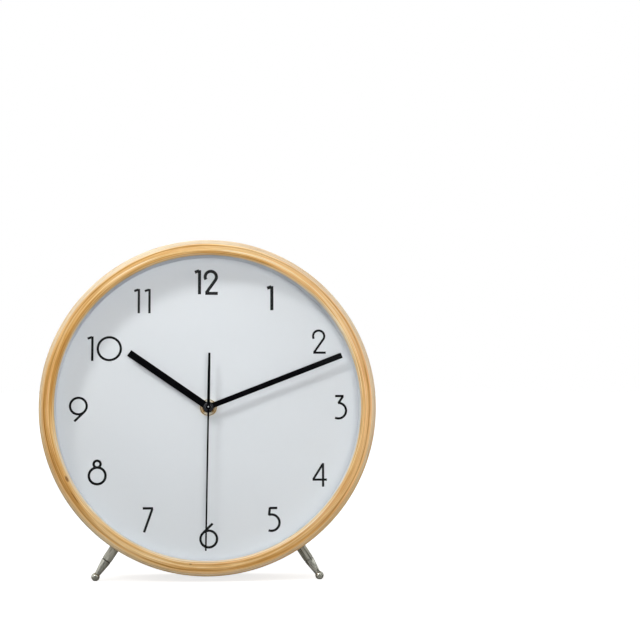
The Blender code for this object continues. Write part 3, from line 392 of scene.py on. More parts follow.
def rimWood():
    # thin veneers rolled up and sanded round, so their edges show as rings
    made = Finish("rimWood")
    radius, cosine, sine, depth = aroundAxle(made, made.caseSpot())

    def grained(name):
        outward, inward, around, detail, roughness = rimLook["grains"][name]
        stretched = made.join(radius * outward, depth * inward, sine * around)
        return made.cloud(stretched, 1.0, detail, roughness, cosine * around)

    slow = made.join(cosine * 1.6, sine * 1.6, depth * 0.015)
    place = radius + (made.cloud(slow, 1.0, 2.0) - 0.5) * 2.0
    tone = rimLook["veneers"][0][1]
    seam = 0.0
    for (edge, before), (_, after) in zip(rimLook["veneers"], rimLook["veneers"][1:]):
        passed = place.between(edge - 0.07, edge + 0.07)
        tone = tone + passed * (after - before)
        seam = seam + (1 - (place - edge).size().between(0.02, 0.15))
    threads, streaks, fibres = grained("threads"), grained("streaks"), grained("fibres")
    broad, ribbons = grained("broad"), grained("ribbons")
    toneAndPaintedLight = tone + (streaks - 0.5) * 0.9 + (threads - 0.5) * 0.8 + (fibres - 0.5) * 0.35
    toneAndPaintedLight = toneAndPaintedLight + (ribbons.between(0.4, 0.6) - 0.5) * 0.3
    # the broad noise is tone that differs at random; the sine and cosine terms on this and the next
    # line are painted light, lighter at the top, bottom and right of the hoop and darker at its left
    toneAndPaintedLight = toneAndPaintedLight + (broad - 0.5) * 0.8 + sine * 0.1 + sine * sine * 0.2 + 0.06
    toneAndPaintedLight = toneAndPaintedLight + cosine * 0.07 + sine * cosine * 0.15
    # painted highlight: the outer rounding lighter at the top of the hoop and darker at its bottom
    toneAndPaintedLight = toneAndPaintedLight + (sine + 0.5) * radius.between(96.8, 97.4) * 0.2
    # painted shade: the inner rounding darker under the top of the hoop
    toneAndPaintedLight = toneAndPaintedLight - (sine * 0.3 + sine * sine * 0.2) * (1 - radius.between(92.4, 93.4))
    wood = made.shades(
        toneAndPaintedLight * 0.7,
        (0.06, rimLook["deep"]),
        (0.36, rimLook["middle"]),
        (0.62, rimLook["pale"]),
        (0.86, rimLook["cream"]),
    )
    outside = radius.between(98.9, 99.7)
    rosy = (grained("rosy") + cosine * 0.07).between(0.48, 0.7)
    wood = made.over(wood, rimLook["peach"], rosy * (0.6 - 0.4 * outside))
    # the outermost veneer shows its face, with the grain running round the hoop
    swirl = made.cloud(made.join(depth * 0.04, sine * 0.8, cosine * 0.8), 1.0, 2.0, 0.45)
    rings = (depth * 0.9 + swirl * 30 + threads * 1.2).wave() * 0.5 + 0.5
    wood = made.over(wood, rimLook["middle"], outside * (rings * rings * 0.42 + 0.24))
    wood = made.over(wood, rimLook["deep"], outside * grained("pores").between(0.52, 0.75) * 0.45)
    # a pale outer veneer, made stronger at the top of the hoop by a painted highlight
    paleVeneerAndPaintedHighlight = radius.between(96.9, 97.7) * (0.36 + 0.22 * sine) * (1 - outside * 0.8)
    wood = made.over(wood, rimLook["ash"], paleVeneerAndPaintedHighlight)
    wood = made.over(wood, rimLook["line"], seam * (0.12 + threads.between(0.38, 0.62) * 0.6))
    wood = made.over(wood, rimLook["line"], threads.between(0.6, 0.75) * 0.3)
    crease = 1 - (ribbons - 0.5).size().between(0.03, 0.12)
    wood = made.over(wood, rimLook["line"], crease * (1 - outside) * 0.14)
    # one darker glue line shows most
    glue = 1 - (place + (broad - 0.5) * 1.6 - rimLook["glueLine"]).size().between(0.12, 0.4)
    wood = made.over(wood, rimLook["line"], glue * (0.16 + threads.between(0.35, 0.6) * 0.36))
    across, height = radius * cosine, radius * sine
    for angle, where, length, width in rimLook["marks"]:
        turn = math.radians(angle)
        along = (across * math.cos(turn) - height * math.sin(turn)) / length
        out = (across * math.sin(turn) + height * math.cos(turn) - where) / width
        near = 1 - (along * along + out * out + fibres * 0.6).between(0.5, 1.6)
        wood = made.over(wood, rimLook["knot"], near * 0.75)
    grain = made.raised(streaks * 0.5 + fibres * 0.5 - seam * 0.2, 0.00006, 0.6)
    return made.done(wood, 0.42 + 0.2 * fibres, Normal=grain, Specular_IOR_Level=0.22)


dialLook = {"paper": paint(225, 230, 233), "fibre": paint(218, 224, 228), "roughness": 0.55}


def dialPaper():
    made = Finish("dialPaper")
    spot = made.caseSpot()
    fibre = made.cloud(spot, 2.2, 4.0, 0.65)
    blotch = made.cloud(spot, 0.03, 2.0)
    colour = made.over(dialLook["fibre"], dialLook["paper"], fibre * 0.6 + blotch * 0.4)
    grain = made.raised(fibre, 0.00001, 0.25)
    return made.done(colour, dialLook["roughness"] + 0.1 * blotch, Normal=grain)


def linerCard():
    made = Finish("linerCard")
    spot = made.caseSpot()
    fibre = made.cloud(made.stretch(spot, (1, 3, 1)), 0.9, 4.0, 0.6)
    _, cosine, sine, _ = aroundAxle(made, spot)
    # white card, greyed under the top of the hoop by painted shade
    colour = made.over(paint(228, 231, 235), paint(238, 241, 244), fibre)
    shade = sine.between(0.3, 0.72) * (0.95 - cosine * 0.1)
    colour = made.over(colour, paint(196, 200, 206), shade)
    return made.done(colour, 0.6, Normal=made.raised(fibre, 0.00002, 0.3))


def clearGlass():
    # a thin pane: what it mirrors, and nothing else
    made = Finish("clearGlass")
    slant = made.add("ShaderNodeLayerWeight", {}, {"Blend": 0.5}, "Facing")
    smear = made.cloud(made.caseSpot(), 0.05, 2.0)
    share = (0.022 + 0.6 * slant**5) * (0.75 + 0.25 * smear)
    return made.done(paint(244, 250, 250), 0.03, Metallic=1.0, Alpha=share)


def printInk():
    made = Finish("printInk")
    speck = made.cloud(made.caseSpot(), 5.0, 3.0, 0.7)
    colour = made.over(paint(1, 1, 3), paint(8, 8, 11), speck)
    return made.done(colour, 0.55 + 0.12 * speck, Specular_IOR_Level=0.12)


def blackLacquer(name, gloss, shine, colour, tint):
    made = Finish(name)
    spot = made.caseSpot()
    peel = made.cloud(spot, 1.6, 3.0, 0.55)
    dust = made.cloud(spot, 0.25, 4.0, 0.6).between(0.45, 0.75)
    shade = made.over(paint(*colour), paint(*tint), dust)
    normal = made.raised(peel, 0.00001, 0.25)
    return made.done(shade, gloss + 0.12 * dust, Normal=normal, Specular_IOR_Level=shine)


def brassTurned(name, dull, bright):
    made = Finish(name)
    radius, cosine, sine, depth = aroundAxle(made, made.caseSpot())
    lines = made.cloud(made.join(radius * 9, depth * 9, sine * 0.4), 1.0, 3.0, 0.6, cosine * 0.4)
    patch = made.cloud(made.caseSpot(), 0.35, 2.0)
    colour = made.over(paint(*dull), paint(*bright), lines * 0.5 + patch * 0.5)
    # painted highlights in fans, as turned faces mirror the light, with painted dark reflections
    # between them
    paintedGlintFan = (sine * sine).between(0.35, 0.9)
    paintedGlintFan = paintedGlintFan + (cosine * cosine * cosine * cosine).between(0.5, 1) * 0.4
    colour = made.over(colour, paint(255, 252, 232), paintedGlintFan * (0.5 + 0.5 * patch))
    colour = made.over(colour, paint(176, 134, 74), (1 - paintedGlintFan) * (0.3 + 0.3 * lines))
    # painted shade: a dark ring part way out on the nut's face
    gap = radius.between(4.3, 4.45) - radius.between(4.8, 4.95)
    colour = made.over(colour, paint(112, 78, 38), gap * 0.8)
    normal = made.raised(lines, 0.00001, 0.4)
    return made.done(colour, 0.14 + 0.1 * lines, Metallic=0.2, Normal=normal)


def satinNickel(name, direction, streaks):
    # brushed along the leg; direction is the side that it points to, and streaks is how strongly it
    # carries painted reflections as light and dark lengthwise streaks
    made = Finish(name)
    spot = made.caseSpot(depth=legs["depth"])
    across, depth, height = made.split(spot)
    turn = math.radians(legs["angle"])
    along = across * (direction * math.sin(turn)) - height * math.cos(turn)
    side = across * math.cos(turn) + height * (direction * math.sin(turn))
    brush = made.cloud(made.join(side * 4, depth * 4, along * 0.25), 1.0, 4.0, 0.65)
    fine = made.cloud(spot, 3.0, 3.0, 0.7)
    lines = made.cloud(made.join(side * 1.5 + 4, depth * 1.5, along * 0.02), 1.0, 2.0, 0.8)
    # painted reflection: light and dark lengthwise lines, as a mirror-like leg shows the room
    tone = brush.between(0.3, 0.7) * (1 - streaks) + lines.between(0.45, 0.55) * streaks
    colour = made.over(paint(156, 156, 142), paint(236, 236, 224), tone)
    # painted reflection: dark lengthwise streaks
    colour = made.over(colour, paint(24, 22, 20), (1 - lines.between(0.38, 0.46)) * streaks)
    blasted = along < legs["seam"]
    matt = fine.between(0.42, 0.7) * blasted * (0.8 - 0.6 * streaks)
    colour = made.over(colour, paint(112, 112, 101), matt)
    # painted shade darkens the joint between the collar and the pin, as in the gap between them
    joint = 1 - (along - legs["seam"] - 0.25).size().between(0.2, 0.5)
    colour = made.over(colour, paint(48, 48, 42), joint * (0.9 - 0.4 * streaks))
    polished = along.between(legs["ball"] - 3.2, legs["ball"] - 2)
    normal = made.raised(brush * (1 - polished) * (1 - blasted * 0.6) + fine * blasted, 0.00004, 0.7)
    rough = (0.26 + 0.14 * brush + 0.16 * blasted) * (1 - polished * 0.75)
    return made.done(colour, rough, Metallic=0.95 - blasted * (0.5 - 0.4 * streaks), Normal=normal)


def plainMetal(name, dull, bright, roughness=0.28):
    made = Finish(name)
    spot = made.caseSpot()
    patch = made.cloud(spot, 0.5, 3.0, 0.6)
    fine = made.cloud(spot, 6.0, 3.0, 0.6)
    colour = made.over(paint(*dull), paint(*bright), patch * 0.6 + fine * 0.4)
    normal = made.raised(fine, 0.00001, 0.4)
    return made.done(colour, roughness + 0.15 * patch, Metallic=1.0, Normal=normal)


def mouldedPlastic(name, dark, light, roughness=0.5, grainSize=3.5, depth=0.00002):
    made = Finish(name)
    spot = made.caseSpot()
    grain = made.cloud(spot, grainSize, 4.0, 0.6)
    patch = made.cloud(spot, 0.12, 2.0)
    colour = made.over(paint(*dark), paint(*light), grain * 0.5 + patch * 0.5)
    normal = made.raised(grain, depth, 0.5)
    return made.done(colour, roughness + 0.1 * patch, Normal=normal)


def hardboard(name, dark, light):
    made = Finish(name)
    spot = made.caseSpot()
    fibre = made.cloud(made.stretch(spot, (1, 0.4, 2.2)), 0.8, 6.0, 0.75, distortion=0.8)
    fleck = made.cloud(spot, 2.2, 4.0, 0.65).between(0.56, 0.7)
    mottle = made.cloud(spot, 0.11, 3.0, 0.6)
    share = fibre.between(0.25, 0.75) * 0.75 + mottle * 0.25
    colour = made.over(paint(*dark), paint(*light), share)
    colour = made.over(colour, paint(*[value * 0.55 for value in dark]), fleck * 0.6)
    normal = made.raised(fibre * 0.7 + fleck * 0.3, 0.00006, 0.6)
    return made.done(colour, 0.62 + 0.2 * fibre, Normal=normal)


def blockPine():
    made = Finish("blockPine")
    spot = made.caseSpot()
    rings = made.cloud(made.stretch(spot, (0.9, 0.06, 0.35)), 1.0, 4.0, 0.6, distortion=0.4)
    fine = made.cloud(made.stretch(spot, (6, 0.3, 6)), 1.0, 3.0)
    colour = made.shades(
        rings * 0.75 + fine * 0.25,
        (0.3, paint(172, 128, 78)),
        (0.5, paint(214, 176, 122)),
        (0.7, paint(232, 202, 154)),
    )
    return made.done(colour, 0.7, Normal=made.raised(fine, 0.00006, 0.6))


def woundWire():
    made = Finish("woundWire")
    spot = made.caseSpot()
    across, _, _ = made.split(spot)
    turns = (across * 21).wave() * 0.5 + 0.5
    patch = made.cloud(spot, 0.8, 2.0)
    colour = made.over(paint(112, 52, 24), paint(206, 122, 70), turns * 0.7 + patch * 0.3)
    normal = made.raised(turns, 0.00005, 0.8)
    return made.done(colour, 0.32, Metallic=0.9, Normal=normal)


def boardLaminate():
    made = Finish("boardLaminate")
    spot = made.caseSpot()
    across, _, height = made.split(spot)
    weave = (across * 12).wave() * (height * 12).wave() * 0.5 + 0.5
    path = made.cloud(made.stretch(spot, (0.5, 0, 1.2)), 1.0, 0.0).between(0.5, 0.52)
    colour = made.over(paint(18, 74, 38), paint(24, 92, 50), weave)
    colour = made.over(colour, paint(58, 130, 74), path * 0.8)
    return made.done(colour, 0.38, Normal=made.raised(path, 0.00003, 0.6))


def cellWrap():
    # a plain shrink wrap, with a pale band round one end
    made = Finish("cellWrap")
    across, _, _ = made.split(made.caseSpot())
    scuff = made.cloud(made.caseSpot(), 0.9, 4.0, 0.65).between(0.5, 0.8)
    band = across > 16.5
    stripe = (across > 15.3) - band
    colour = made.over(paint(38, 84, 124), paint(196, 200, 204), band)
    colour = made.over(colour, paint(238, 240, 242), stripe)
    colour = made.over(colour, paint(120, 126, 132), scuff * 0.3)
    return made.done(colour, 0.28 + 0.2 * scuff, Coat_Weight=0.3, Coat_Roughness=0.15)


def arborWheel(name):
    # a plastic wheel on a steel arbor that reaches out through the hands
    made = Finish(name)
    radius, _, _, depth = aroundAxle(made, made.caseSpot())
    fine = made.cloud(made.caseSpot(), 4.0, 3.0)
    steel = (radius < 0.6) * (depth < 30)
    colour = made.over(paint(222, 218, 202), paint(238, 235, 222), fine)
    colour = made.over(colour, paint(236, 240, 244), steel)
    return made.done(colour, 0.42 - 0.15 * steel, Metallic=steel * 0.35)


# The legs' shape, which their finish needs too; places are distances from the axle
print("finishes")
legs = {
    "angle": 33.5,
    "depth": 12,
    "rimEnd": 100.3,
    "seam": 108.3,
    "gap": 0.35,
    "ball": 120,
    "ballRadius": 2.5,
    "collarRadius": 2.95,
    "coneRadius": 2.9,
    "neckRadius": 1.65,
    "studStart": 94.9,
    "studRadius": 2.0,
    "socketRadius": 1.4,
    "socketDepth": 3.8,
    "plugRadius": 1.1,
    "plugDepth": 3.5,
    "shoulderRadius": 2.5,
    "shoulderGap": 0.05,
    "edge": 0.2,
    "steps": 72,
    "ballSteps": 20,
}
wood = rimWood()
liner = linerCard()
glass = clearGlass()
ink = printInk()
lacquer = blackLacquer("blackLacquer", 0.35, 0.04, (0, 0, 2), (5, 5, 8))
slate = blackLacquer("hubPlastic", 0.3, 0.4, (40, 42, 46), (58, 61, 66))
brass = brassTurned("brassBright", (255, 220, 150), (255, 244, 200))
# a darker copy of the brass, painted shade for the bush deep in the nut's bore
paintedShadeBrass = brassTurned("brassAged", (120, 88, 46), (168, 130, 76))
steel = plainMetal("zincSteel", (150, 150, 146), (196, 196, 192))
spring = plainMetal("springSteel", (170, 168, 160), (214, 212, 204), 0.2)
# the right leg carries strong painted reflection streaks, the left hardly any
legMetal = {
    "left": satinNickel("satinNickelLeft", -1, 0.1),
    "right": satinNickel("satinNickelRight", 1, 0.9),
}
board = hardboard("coverBoard", (122, 86, 54), (172, 130, 88))
blackShell = mouldedPlastic("blackShell", (40, 40, 43), (58, 58, 62), 0.45)


# The wooden rim
print("rim")
rim = {
    "outside": 99.99,
    "opening": 91,
    "front": 0.01,
    "depth": 46.05,
    "lip": 3.6,
    "cavity": 94.3,
    "seat": 96.3,
    "seatDepth": 40.35,
    "frontRound": 3.2,
    "insideRound": 2.6,
    "rearRound": 1.0,
    "seatRound": 0.4,
    "steps": 240,
    # a leg's bore, as radii and distances from the axle
    "bore": (
        (0, 93), (6.0, 93), (6.0, 95.9), (3.3, 95.9), (3.3, 98.8), (2.3, 98.8), (2.3, 101), (0, 101),
    ),
}


def pointedAlongLeg(side):
    # the depth axis of a turned piece, laid along a leg
    turn = math.radians(legs["angle"])
    along = Vector((side * math.sin(turn), 0, -math.cos(turn)))
    return Vector((0, 1, 0)).rotation_difference(along).to_matrix().to_4x4()


def makeRim():
    corners = [
        (rim["opening"], rim["front"]),
        (rim["outside"], rim["front"]),
        (rim["outside"], rim["depth"]),
        (rim["seat"], rim["depth"]),
        (rim["seat"], rim["seatDepth"]),
        (rim["cavity"], rim["seatDepth"]),
        (rim["cavity"], rim["lip"]),
        (rim["opening"], rim["lip"]),
    ]
    rounds = [
        (0, rim["insideRound"], 10),
        (1, rim["frontRound"], 12),
        (2, rim["rearRound"], 5),
        (3, rim["seatRound"], 3),
    ]
    piece = turnPiece("caseRim", corners, rounds, rim["steps"])
    for side in (-1, 1):
        tool = turnPiece("legHole", rim["bore"], (), 32)
        tool.matrix_world = Matrix.Translation((0, legs["depth"], 0)) @ pointedAlongLeg(side)
        cutAway(piece, tool)
    putInCase(piece, "case", wood)
    trimAtFloor(piece)
    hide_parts("case_rim")


makeRim()


# Glass, and the pale ring that holds it off the dial
print("glass and liner")
front = {
    "discRadius": 94,
    "glassFront": 3.7,
    "glassBack": 5.7,
    "glassEdge": 0.2,
    "glassSteps": 192,
    "ringFront": 5.75,
    "ringGap": 0.03,
    "ringEdge": 0.15,
    "dialFront": 16.1,
}
pane = turnPiece(
    "frontGlass",
    ringSection(0, front["discRadius"], front["glassFront"], front["glassBack"]),
    [(1, front["glassEdge"], 2), (2, front["glassEdge"], 2)],
    front["glassSteps"],
)
putInCase(pane, "case", glass)
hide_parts("front_glass")
ring = turnPiece(
    "linerRing",
    ringSection(
        rim["opening"], front["discRadius"], front["ringFront"], front["dialFront"] - front["ringGap"]
    ),
    [(0, front["ringEdge"], 2)],
    rim["steps"],
)
putInCase(ring, "case", liner)
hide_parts("spacer_ring")


# Numbers, drawn with a round pen and pressed flat on the dial
print("numbers")
pen = {"inkThickness": 0.03, "arcSteps": 40}
digits = {
    "0": [("arc", (0, 0), 6.9, 0, 360)],
    "1": [("line", (0.85, -7.4), (0.85, 7.4)), ("line", (-2.0, 6.1), (0.6, 7.0))],
    "2": [
        ("arc", (-0.18, 3.3), 3.4, 209, -35.2),
        ("line", (2.6, 1.34), (-3.0, -6.6)),
        ("line", (-3.5, -6.8), (4.1, -6.8)),
    ],
    "3": [
        ("line", (-3.3, 6.8), (1.9, 6.8)),
        ("line", (1.5, 6.7), (-1.3, 2.5)),
        ("arc", (-1.4, -2.05), 4.7, 92, -115),
    ],
    "4": [
        ("line", (2.05, -7.1), (2.05, 7.1)),
        ("line", (2.0, 6.7), (-3.9, -2.7)),
        ("line", (-4.3, -2.84), (4.35, -2.84)),
    ],
    "5": [
        ("line", (-2.7, 6.85), (1.9, 6.85)),
        ("line", (-2.5, 7.2), (-3.1, 2.5)),
        ("arc", (-1.63, -1.87), 4.85, 109, -111),
    ],
    "6": [("arc", (0, -1.87), 4.95, 0, 360), ("line", (2.3, 7.3), (-3.44, 1.69))],
    "7": [("line", (-3.1, 6.9), (3.1, 6.9)), ("line", (2.7, 6.7), (-2.2, -7.3))],
    "8": [("arc", (0, -2.0), 4.95, 0, 360), ("arc", (-0.1, 4.95), 2.05, 0, 360)],
    "9": [("arc", (0, 1.87), 4.95, 0, 360), ("line", (-2.3, -7.3), (3.44, -1.69))],
}
# each number: its middle on the dial, its stroke, and each digit with its shift
numbers = {
    "12": ((-1.3, 76.2), 1.9, (("1", -5.1), ("2", 2.75))),
    "1": ((37.45, 66.6), 1.95, (("1", 0),)),
    "2": ((66.9, 40.15), 1.35, (("2", 0),)),
    "3": ((79.8, 0.2), 1.4, (("3", 0),)),
    "4": ((66.9, -40.5), 1.35, (("4", 0),)),
    "5": ((39.45, -67.0), 1.45, (("5", 0),)),
    "6": ((0.4, -76.5), 1.45, (("6", 0),)),
    "7": ((-35.85, -66.9), 1.45, (("7", 0),)),
    "8": ((-66.1, -38.6), 1.5, (("8", 0),)),
    "9": ((-77.7, -0.8), 1.42, (("9", 0),)),
    "10": ((-62.1, 35.6), 1.45, (("1", -8.5), ("0", 2.5))),
    "11": ((-39.8, 64.55), 1.42, (("1", -3.15), ("1", 3.25))),
}


def strokePoints(stroke):
    if stroke[0] == "line":
        return [stroke[1], stroke[2]]
    (across, height), radius, start, end = stroke[1:]
    points = []
    for step in range(pen["arcSteps"] + 1):
        turn = math.radians(start + (end - start) * step / pen["arcSteps"])
        points.append((across + radius * math.cos(turn), height + radius * math.sin(turn)))
    return points


def writeNumber(number):
    (middle, rise), width, parts = numbers[number]
    line = bpy.data.curves.new(f"number{number}", "CURVE")
    line.dimensions = "3D"
    line.bevel_depth = width / 2
    line.bevel_resolution = 2
    line.use_fill_caps = True
    for digit, shift in parts:
        for stroke in digits[digit]:
            points = strokePoints(stroke)
            closed = stroke[0] == "arc" and abs(stroke[4] - stroke[3]) == 360
            if closed:
                points = points[:-1]
            spline = line.splines.new("POLY")
            spline.points.add(len(points) - 1)
            spline.use_cyclic_u = closed
            for point, (across, height) in zip(spline.points, points):
                point.co = (middle + shift + across, 0, rise + height, 1)
    piece = bpy.data.objects.new(f"number{number}", line)
    bpy.context.scene.collection.objects.link(piece)
    makeActive(piece)
    bpy.ops.object.convert(target="MESH")
    piece = bpy.context.object
    piece.data.name = piece.name
    bpy.ops.object.mode_set(mode="EDIT")
    chooseAll()
    flatten = pen["inkThickness"] / (width / 2)
    bpy.ops.transform.resize(value=(1, flatten, 1))
    bpy.ops.mesh.normals_make_consistent(inside=False)
    bpy.ops.object.mode_set(mode="OBJECT")
    putInCase(piece, "case", ink, depth=front["dialFront"])


for number in numbers:
    writeNumber(number)


# Brass nut, washer and threaded bush round the hands' pipes
print("brass fittings")
fittings = {
    "steps": 128,
    # inner and outer radius, front and back
    "washer": (4.0, 5.15, 15.3, 15.8),
    # (radius, depth) corners
    "nut": ((3.98, 13.2), (4.3, 13.2), (4.9, 13.85), (4.9, 15.0), (3.98, 15.0)),
    "bush": {
        "hole": 2.78,
        "tip": 3.6,
        "crest": 3.9,
        "root": 3.62,
        "flange": 4.9,
        "front": 12.7,
        "threadFront": 12.95,
        "threadBack": 21,
        "pitch": 0.375,
        "flank": 0.18,
        "flangeFront": 23.0,
        "flangeBack": 23.8,
    },
}
washer = turnPiece(
    "bushWasher", ringSection(*fittings["washer"]), [(1, 0.3, 6), (2, 0.1, 2)], fittings["steps"]
)
putInCase(washer, "case", brass)
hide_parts("bush_washer")
nut = turnPiece(
    "bushNut",
    fittings["nut"],
    [(0, 0.12, 4), (1, 0.15, 4), (2, 0.2, 5), (3, 0.15, 2)],
    fittings["steps"],
)
putInCase(nut, "case", brass)
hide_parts("bush_nut")


def makeBush():
    # the thread is a zigzag in the section, from the front back to the flange
    bush = fittings["bush"]
    corners = [(bush["hole"], bush["front"]), (bush["tip"], bush["front"])]
    depth = bush["threadFront"]
    while depth < bush["threadBack"]:
        corners += [(bush["crest"], depth), (bush["root"], depth + bush["flank"])]
        depth += bush["pitch"]
    corners += [
        (bush["root"], bush["flangeFront"]),
        (bush["flange"], bush["flangeFront"]),
        (bush["flange"], bush["flangeBack"]),
        (bush["hole"], bush["flangeBack"]),
    ]
    return turnPiece("threadedBush", corners, [(0, 0.15, 2)], 96)


# the bush takes the darker brass copy, which is painted shade
putInCase(makeBush(), "case", paintedShadeBrass)
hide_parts("threaded_bush")


# Hands, with their angles clockwise from 12
print("hands")
hands = {
    "thickness": 0.5,
    "edge": 0.1,
    "hub": 3.2,
    "hubSteps": 40,
    "hour": {"front": 11.3, "angle": 304.5, "length": 57.6, "tip": 4.3, "root": 4.1, "hole": 2.63},
    "minute": {"front": 9.9, "angle": 68.7, "length": 86.1, "tip": 3.4, "root": 3.2, "hole": 1.73},
    "second": {
        "front": 8.5,
        "angle": 180.9,
        "hole": 0.5,
        "edge": 0.07,
        "boss": 1.55,
        "bossFront": 7.15,
        "bossBack": 8.35,
        "bossFrom": 20,
        "bossTo": 150,
        "bossSteps": 12,
        # (half width, height) of the pointer's end, and of the tail's two ends
        "pointer": (0.49, 85.2),
        "tail": ((0.86, -4.0), (0.68, -32.6)),
    },
    "collar": ((1.75, 9.55), (2.5, 9.55), (2.9, 9.88), (1.75, 9.88)),
}


def makeBarHand(name, values):
    # a square-ended bar that runs into a round hub
    hub, steps, length = hands["hub"], hands["hubSteps"], values["length"]
    start = math.asin(values["root"] / 2 / hub)
    outline = [(-values["tip"] / 2, length), (values["tip"] / 2, length)]
    for step in range(steps + 1):
        turn = start + (2 * math.pi - 2 * start) * step / steps
        outline.append((hub * math.sin(turn), hub * math.cos(turn)))
    piece = cutSheet(name, outline, hands["thickness"])
    drill(piece, values["hole"])
    softenEdges(piece, hands["edge"])
    return piece


def makeSecondHand(name, values):
    # a thin pointer, and a wider tail that stops short
    boss, steps = values["boss"], values["bossSteps"]
    outline = [values["pointer"]]
    for step in range(steps + 1):
        turn = math.radians(values["bossFrom"] + (values["bossTo"] - values["bossFrom"]) * step / steps)
        outline.append((boss * math.sin(turn), boss * math.cos(turn)))
    outline += values["tail"]
    outline += [(-across, height) for across, height in reversed(outline)]
    piece = cutSheet(name, outline, hands["thickness"])
    drill(piece, values["hole"], steps=32)
    softenEdges(piece, values["edge"], 2)
    return piece


def putHand(piece, body, values):
    turned = Matrix.Rotation(math.radians(values["angle"]), 4, "Y")
    putInCase(piece, body, lacquer, depth=values["front"], turned=turned, smooth=10)


hourHand = makeBarHand("hourHand", hands["hour"])
putHand(hourHand, "hours", hands["hour"])
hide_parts("hour_hand")
minuteHand = makeBarHand("minuteHand", hands["minute"])
putHand(minuteHand, "minutes", hands["minute"])
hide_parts("minute_hand")
secondHand = makeSecondHand("secondHand", hands["second"])
putHand(secondHand, "seconds", hands["second"])
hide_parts("second_hand")
second = hands["second"]
boss = turnPiece(
    "secondHandBoss",
    ringSection(second["hole"], second["boss"], second["bossFront"], second["bossBack"]),
    [(0, 0.2, 3), (1, 0.4, 6)],
    64,
)
putInCase(boss, "seconds", lacquer)
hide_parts("second_hand_hub")
collar = turnPiece("minuteHandCollar", hands["collar"], [(0, 0.1, 2), (1, 0.3, 6)], 64)
putInCase(collar, "minutes", slate)


# Legs
print("legs")


def makeLeg(word, side):
    seam, edge, steps = legs["seam"], legs["edge"], legs["steps"]
    socketEnd, plugEnd = seam - legs["socketDepth"], seam - legs["plugDepth"]
    collarCorners = [
        (0, legs["studStart"]),
        (legs["studRadius"], legs["studStart"]),
        (legs["studRadius"], legs["rimEnd"]),
        (legs["collarRadius"], legs["rimEnd"]),
        (legs["coneRadius"], seam),
        (legs["socketRadius"], seam),
        (legs["socketRadius"], socketEnd),
        (0, socketEnd),
    ]
    collarPiece = turnPiece(f"{word}LegCollar", collarCorners, [(3, edge, 4), (4, edge, 3)], steps)
    putInCase(collarPiece, "case", legMetal[word], depth=legs["depth"], turned=pointedAlongLeg(side))
    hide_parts(f"leg_{word}_collar")
    radius, neckRadius = legs["ballRadius"], legs["neckRadius"]
    neckTurn = math.asin(neckRadius / radius)
    neck = legs["ball"] - radius * math.cos(neckTurn)
    pinFront, shoulder = seam + legs["gap"], seam + legs["shoulderGap"]
    pinCorners = [
        (0, plugEnd),
        (legs["plugRadius"], plugEnd),
        (legs["plugRadius"], shoulder),
        (legs["shoulderRadius"], shoulder),
        (legs["shoulderRadius"], pinFront),
        (legs["coneRadius"], pinFront),
        (neckRadius, neck),
    ]
    ballSteps = legs["ballSteps"]
    for step in range(1, ballSteps):
        turn = neckTurn + (math.pi - neckTurn) * step / ballSteps
        pinCorners.append((radius * math.sin(turn), legs["ball"] - radius * math.cos(turn)))
    pinCorners.append((0, legs["ball"] + radius))
    pin = turnPiece(f"{word}LegPin", pinCorners, [(5, edge, 3)], steps)
    putInCase(pin, "case", legMetal[word], depth=legs["depth"], turned=pointedAlongLeg(side))
    trimAtFloor(pin)
    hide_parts(f"leg_{word}_pin")


makeLeg("left", -1)
makeLeg("right", 1)


# Rear cover and its screws
print("rear cover")
cover = {
    "radius": 96,
    "front": 40.65,
    "thickness": 3,
    # the window's half width, bottom, top and rounding
    "window": (30.6, -30.5, 30.3, 5),
    "screwPlace": 88.8,
    "screwHole": 1.8,
    "screwAngles": (45, 135, 225, 315),
}


def screwPlaces():
    out = cover["screwPlace"]
    turns = [math.radians(angle) for angle in cover["screwAngles"]]
    return [(out * math.cos(turn), out * math.sin(turn)) for turn in turns]


def makeCover():
    bpy.ops.object.select_all(action="DESELECT")
    bpy.ops.mesh.primitive_circle_add(
        vertices=192, radius=cover["radius"], fill_type="NGON", rotation=(math.pi / 2, 0, 0)
    )
    piece = bpy.context.object
    piece.name = piece.data.name = "rearCover"
    bpy.ops.object.transform_apply(location=False, rotation=True, scale=False)
    bpy.ops.object.mode_set(mode="EDIT")
    chooseAll()
    bpy.ops.mesh.extrude_region_move(TRANSFORM_OT_translate={"value": (0, cover["thickness"], 0)})
    chooseAll()
    bpy.ops.mesh.normals_make_consistent(inside=False)
    bpy.ops.object.mode_set(mode="OBJECT")
    half, low, high, rounding = cover["window"]
    window = cutSheet(
        "window",
        [(-half, low), (half, low), (half, high), (-half, high)],
        20,
        [((across, height), rounding, 8) for across in (-half, half) for height in (low, high)],
    )
    window.location.y = -10
    cutAway(piece, window)
    for across, height in screwPlaces():
        drill(piece, cover["screwHole"], across, height, 32)
    softenEdges(piece, 0.25, 2, 50)
    putInCase(piece, "case", board, depth=cover["front"], smooth=10)
    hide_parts("rear_cover")


makeCover()
screws = {
    # (radius, depth) corners, counted from the head's seat
    "section": ((0, -14), (1.5, -11), (1.5, 0), (3.0, 0), (3.0, 0.8), (1.3, 1.8), (0, 1.8)),
    "rounds": ((4, 0.7, 6), (5, 0.5, 4)),
    "headTop": 1.8,
    # the cross: length, width, depth
    "slot": (3.4, 0.7, 0.8),
    "gap": 0.3,
    # how far the first is turned, and each next one further
    "turned": (48, 31),
}


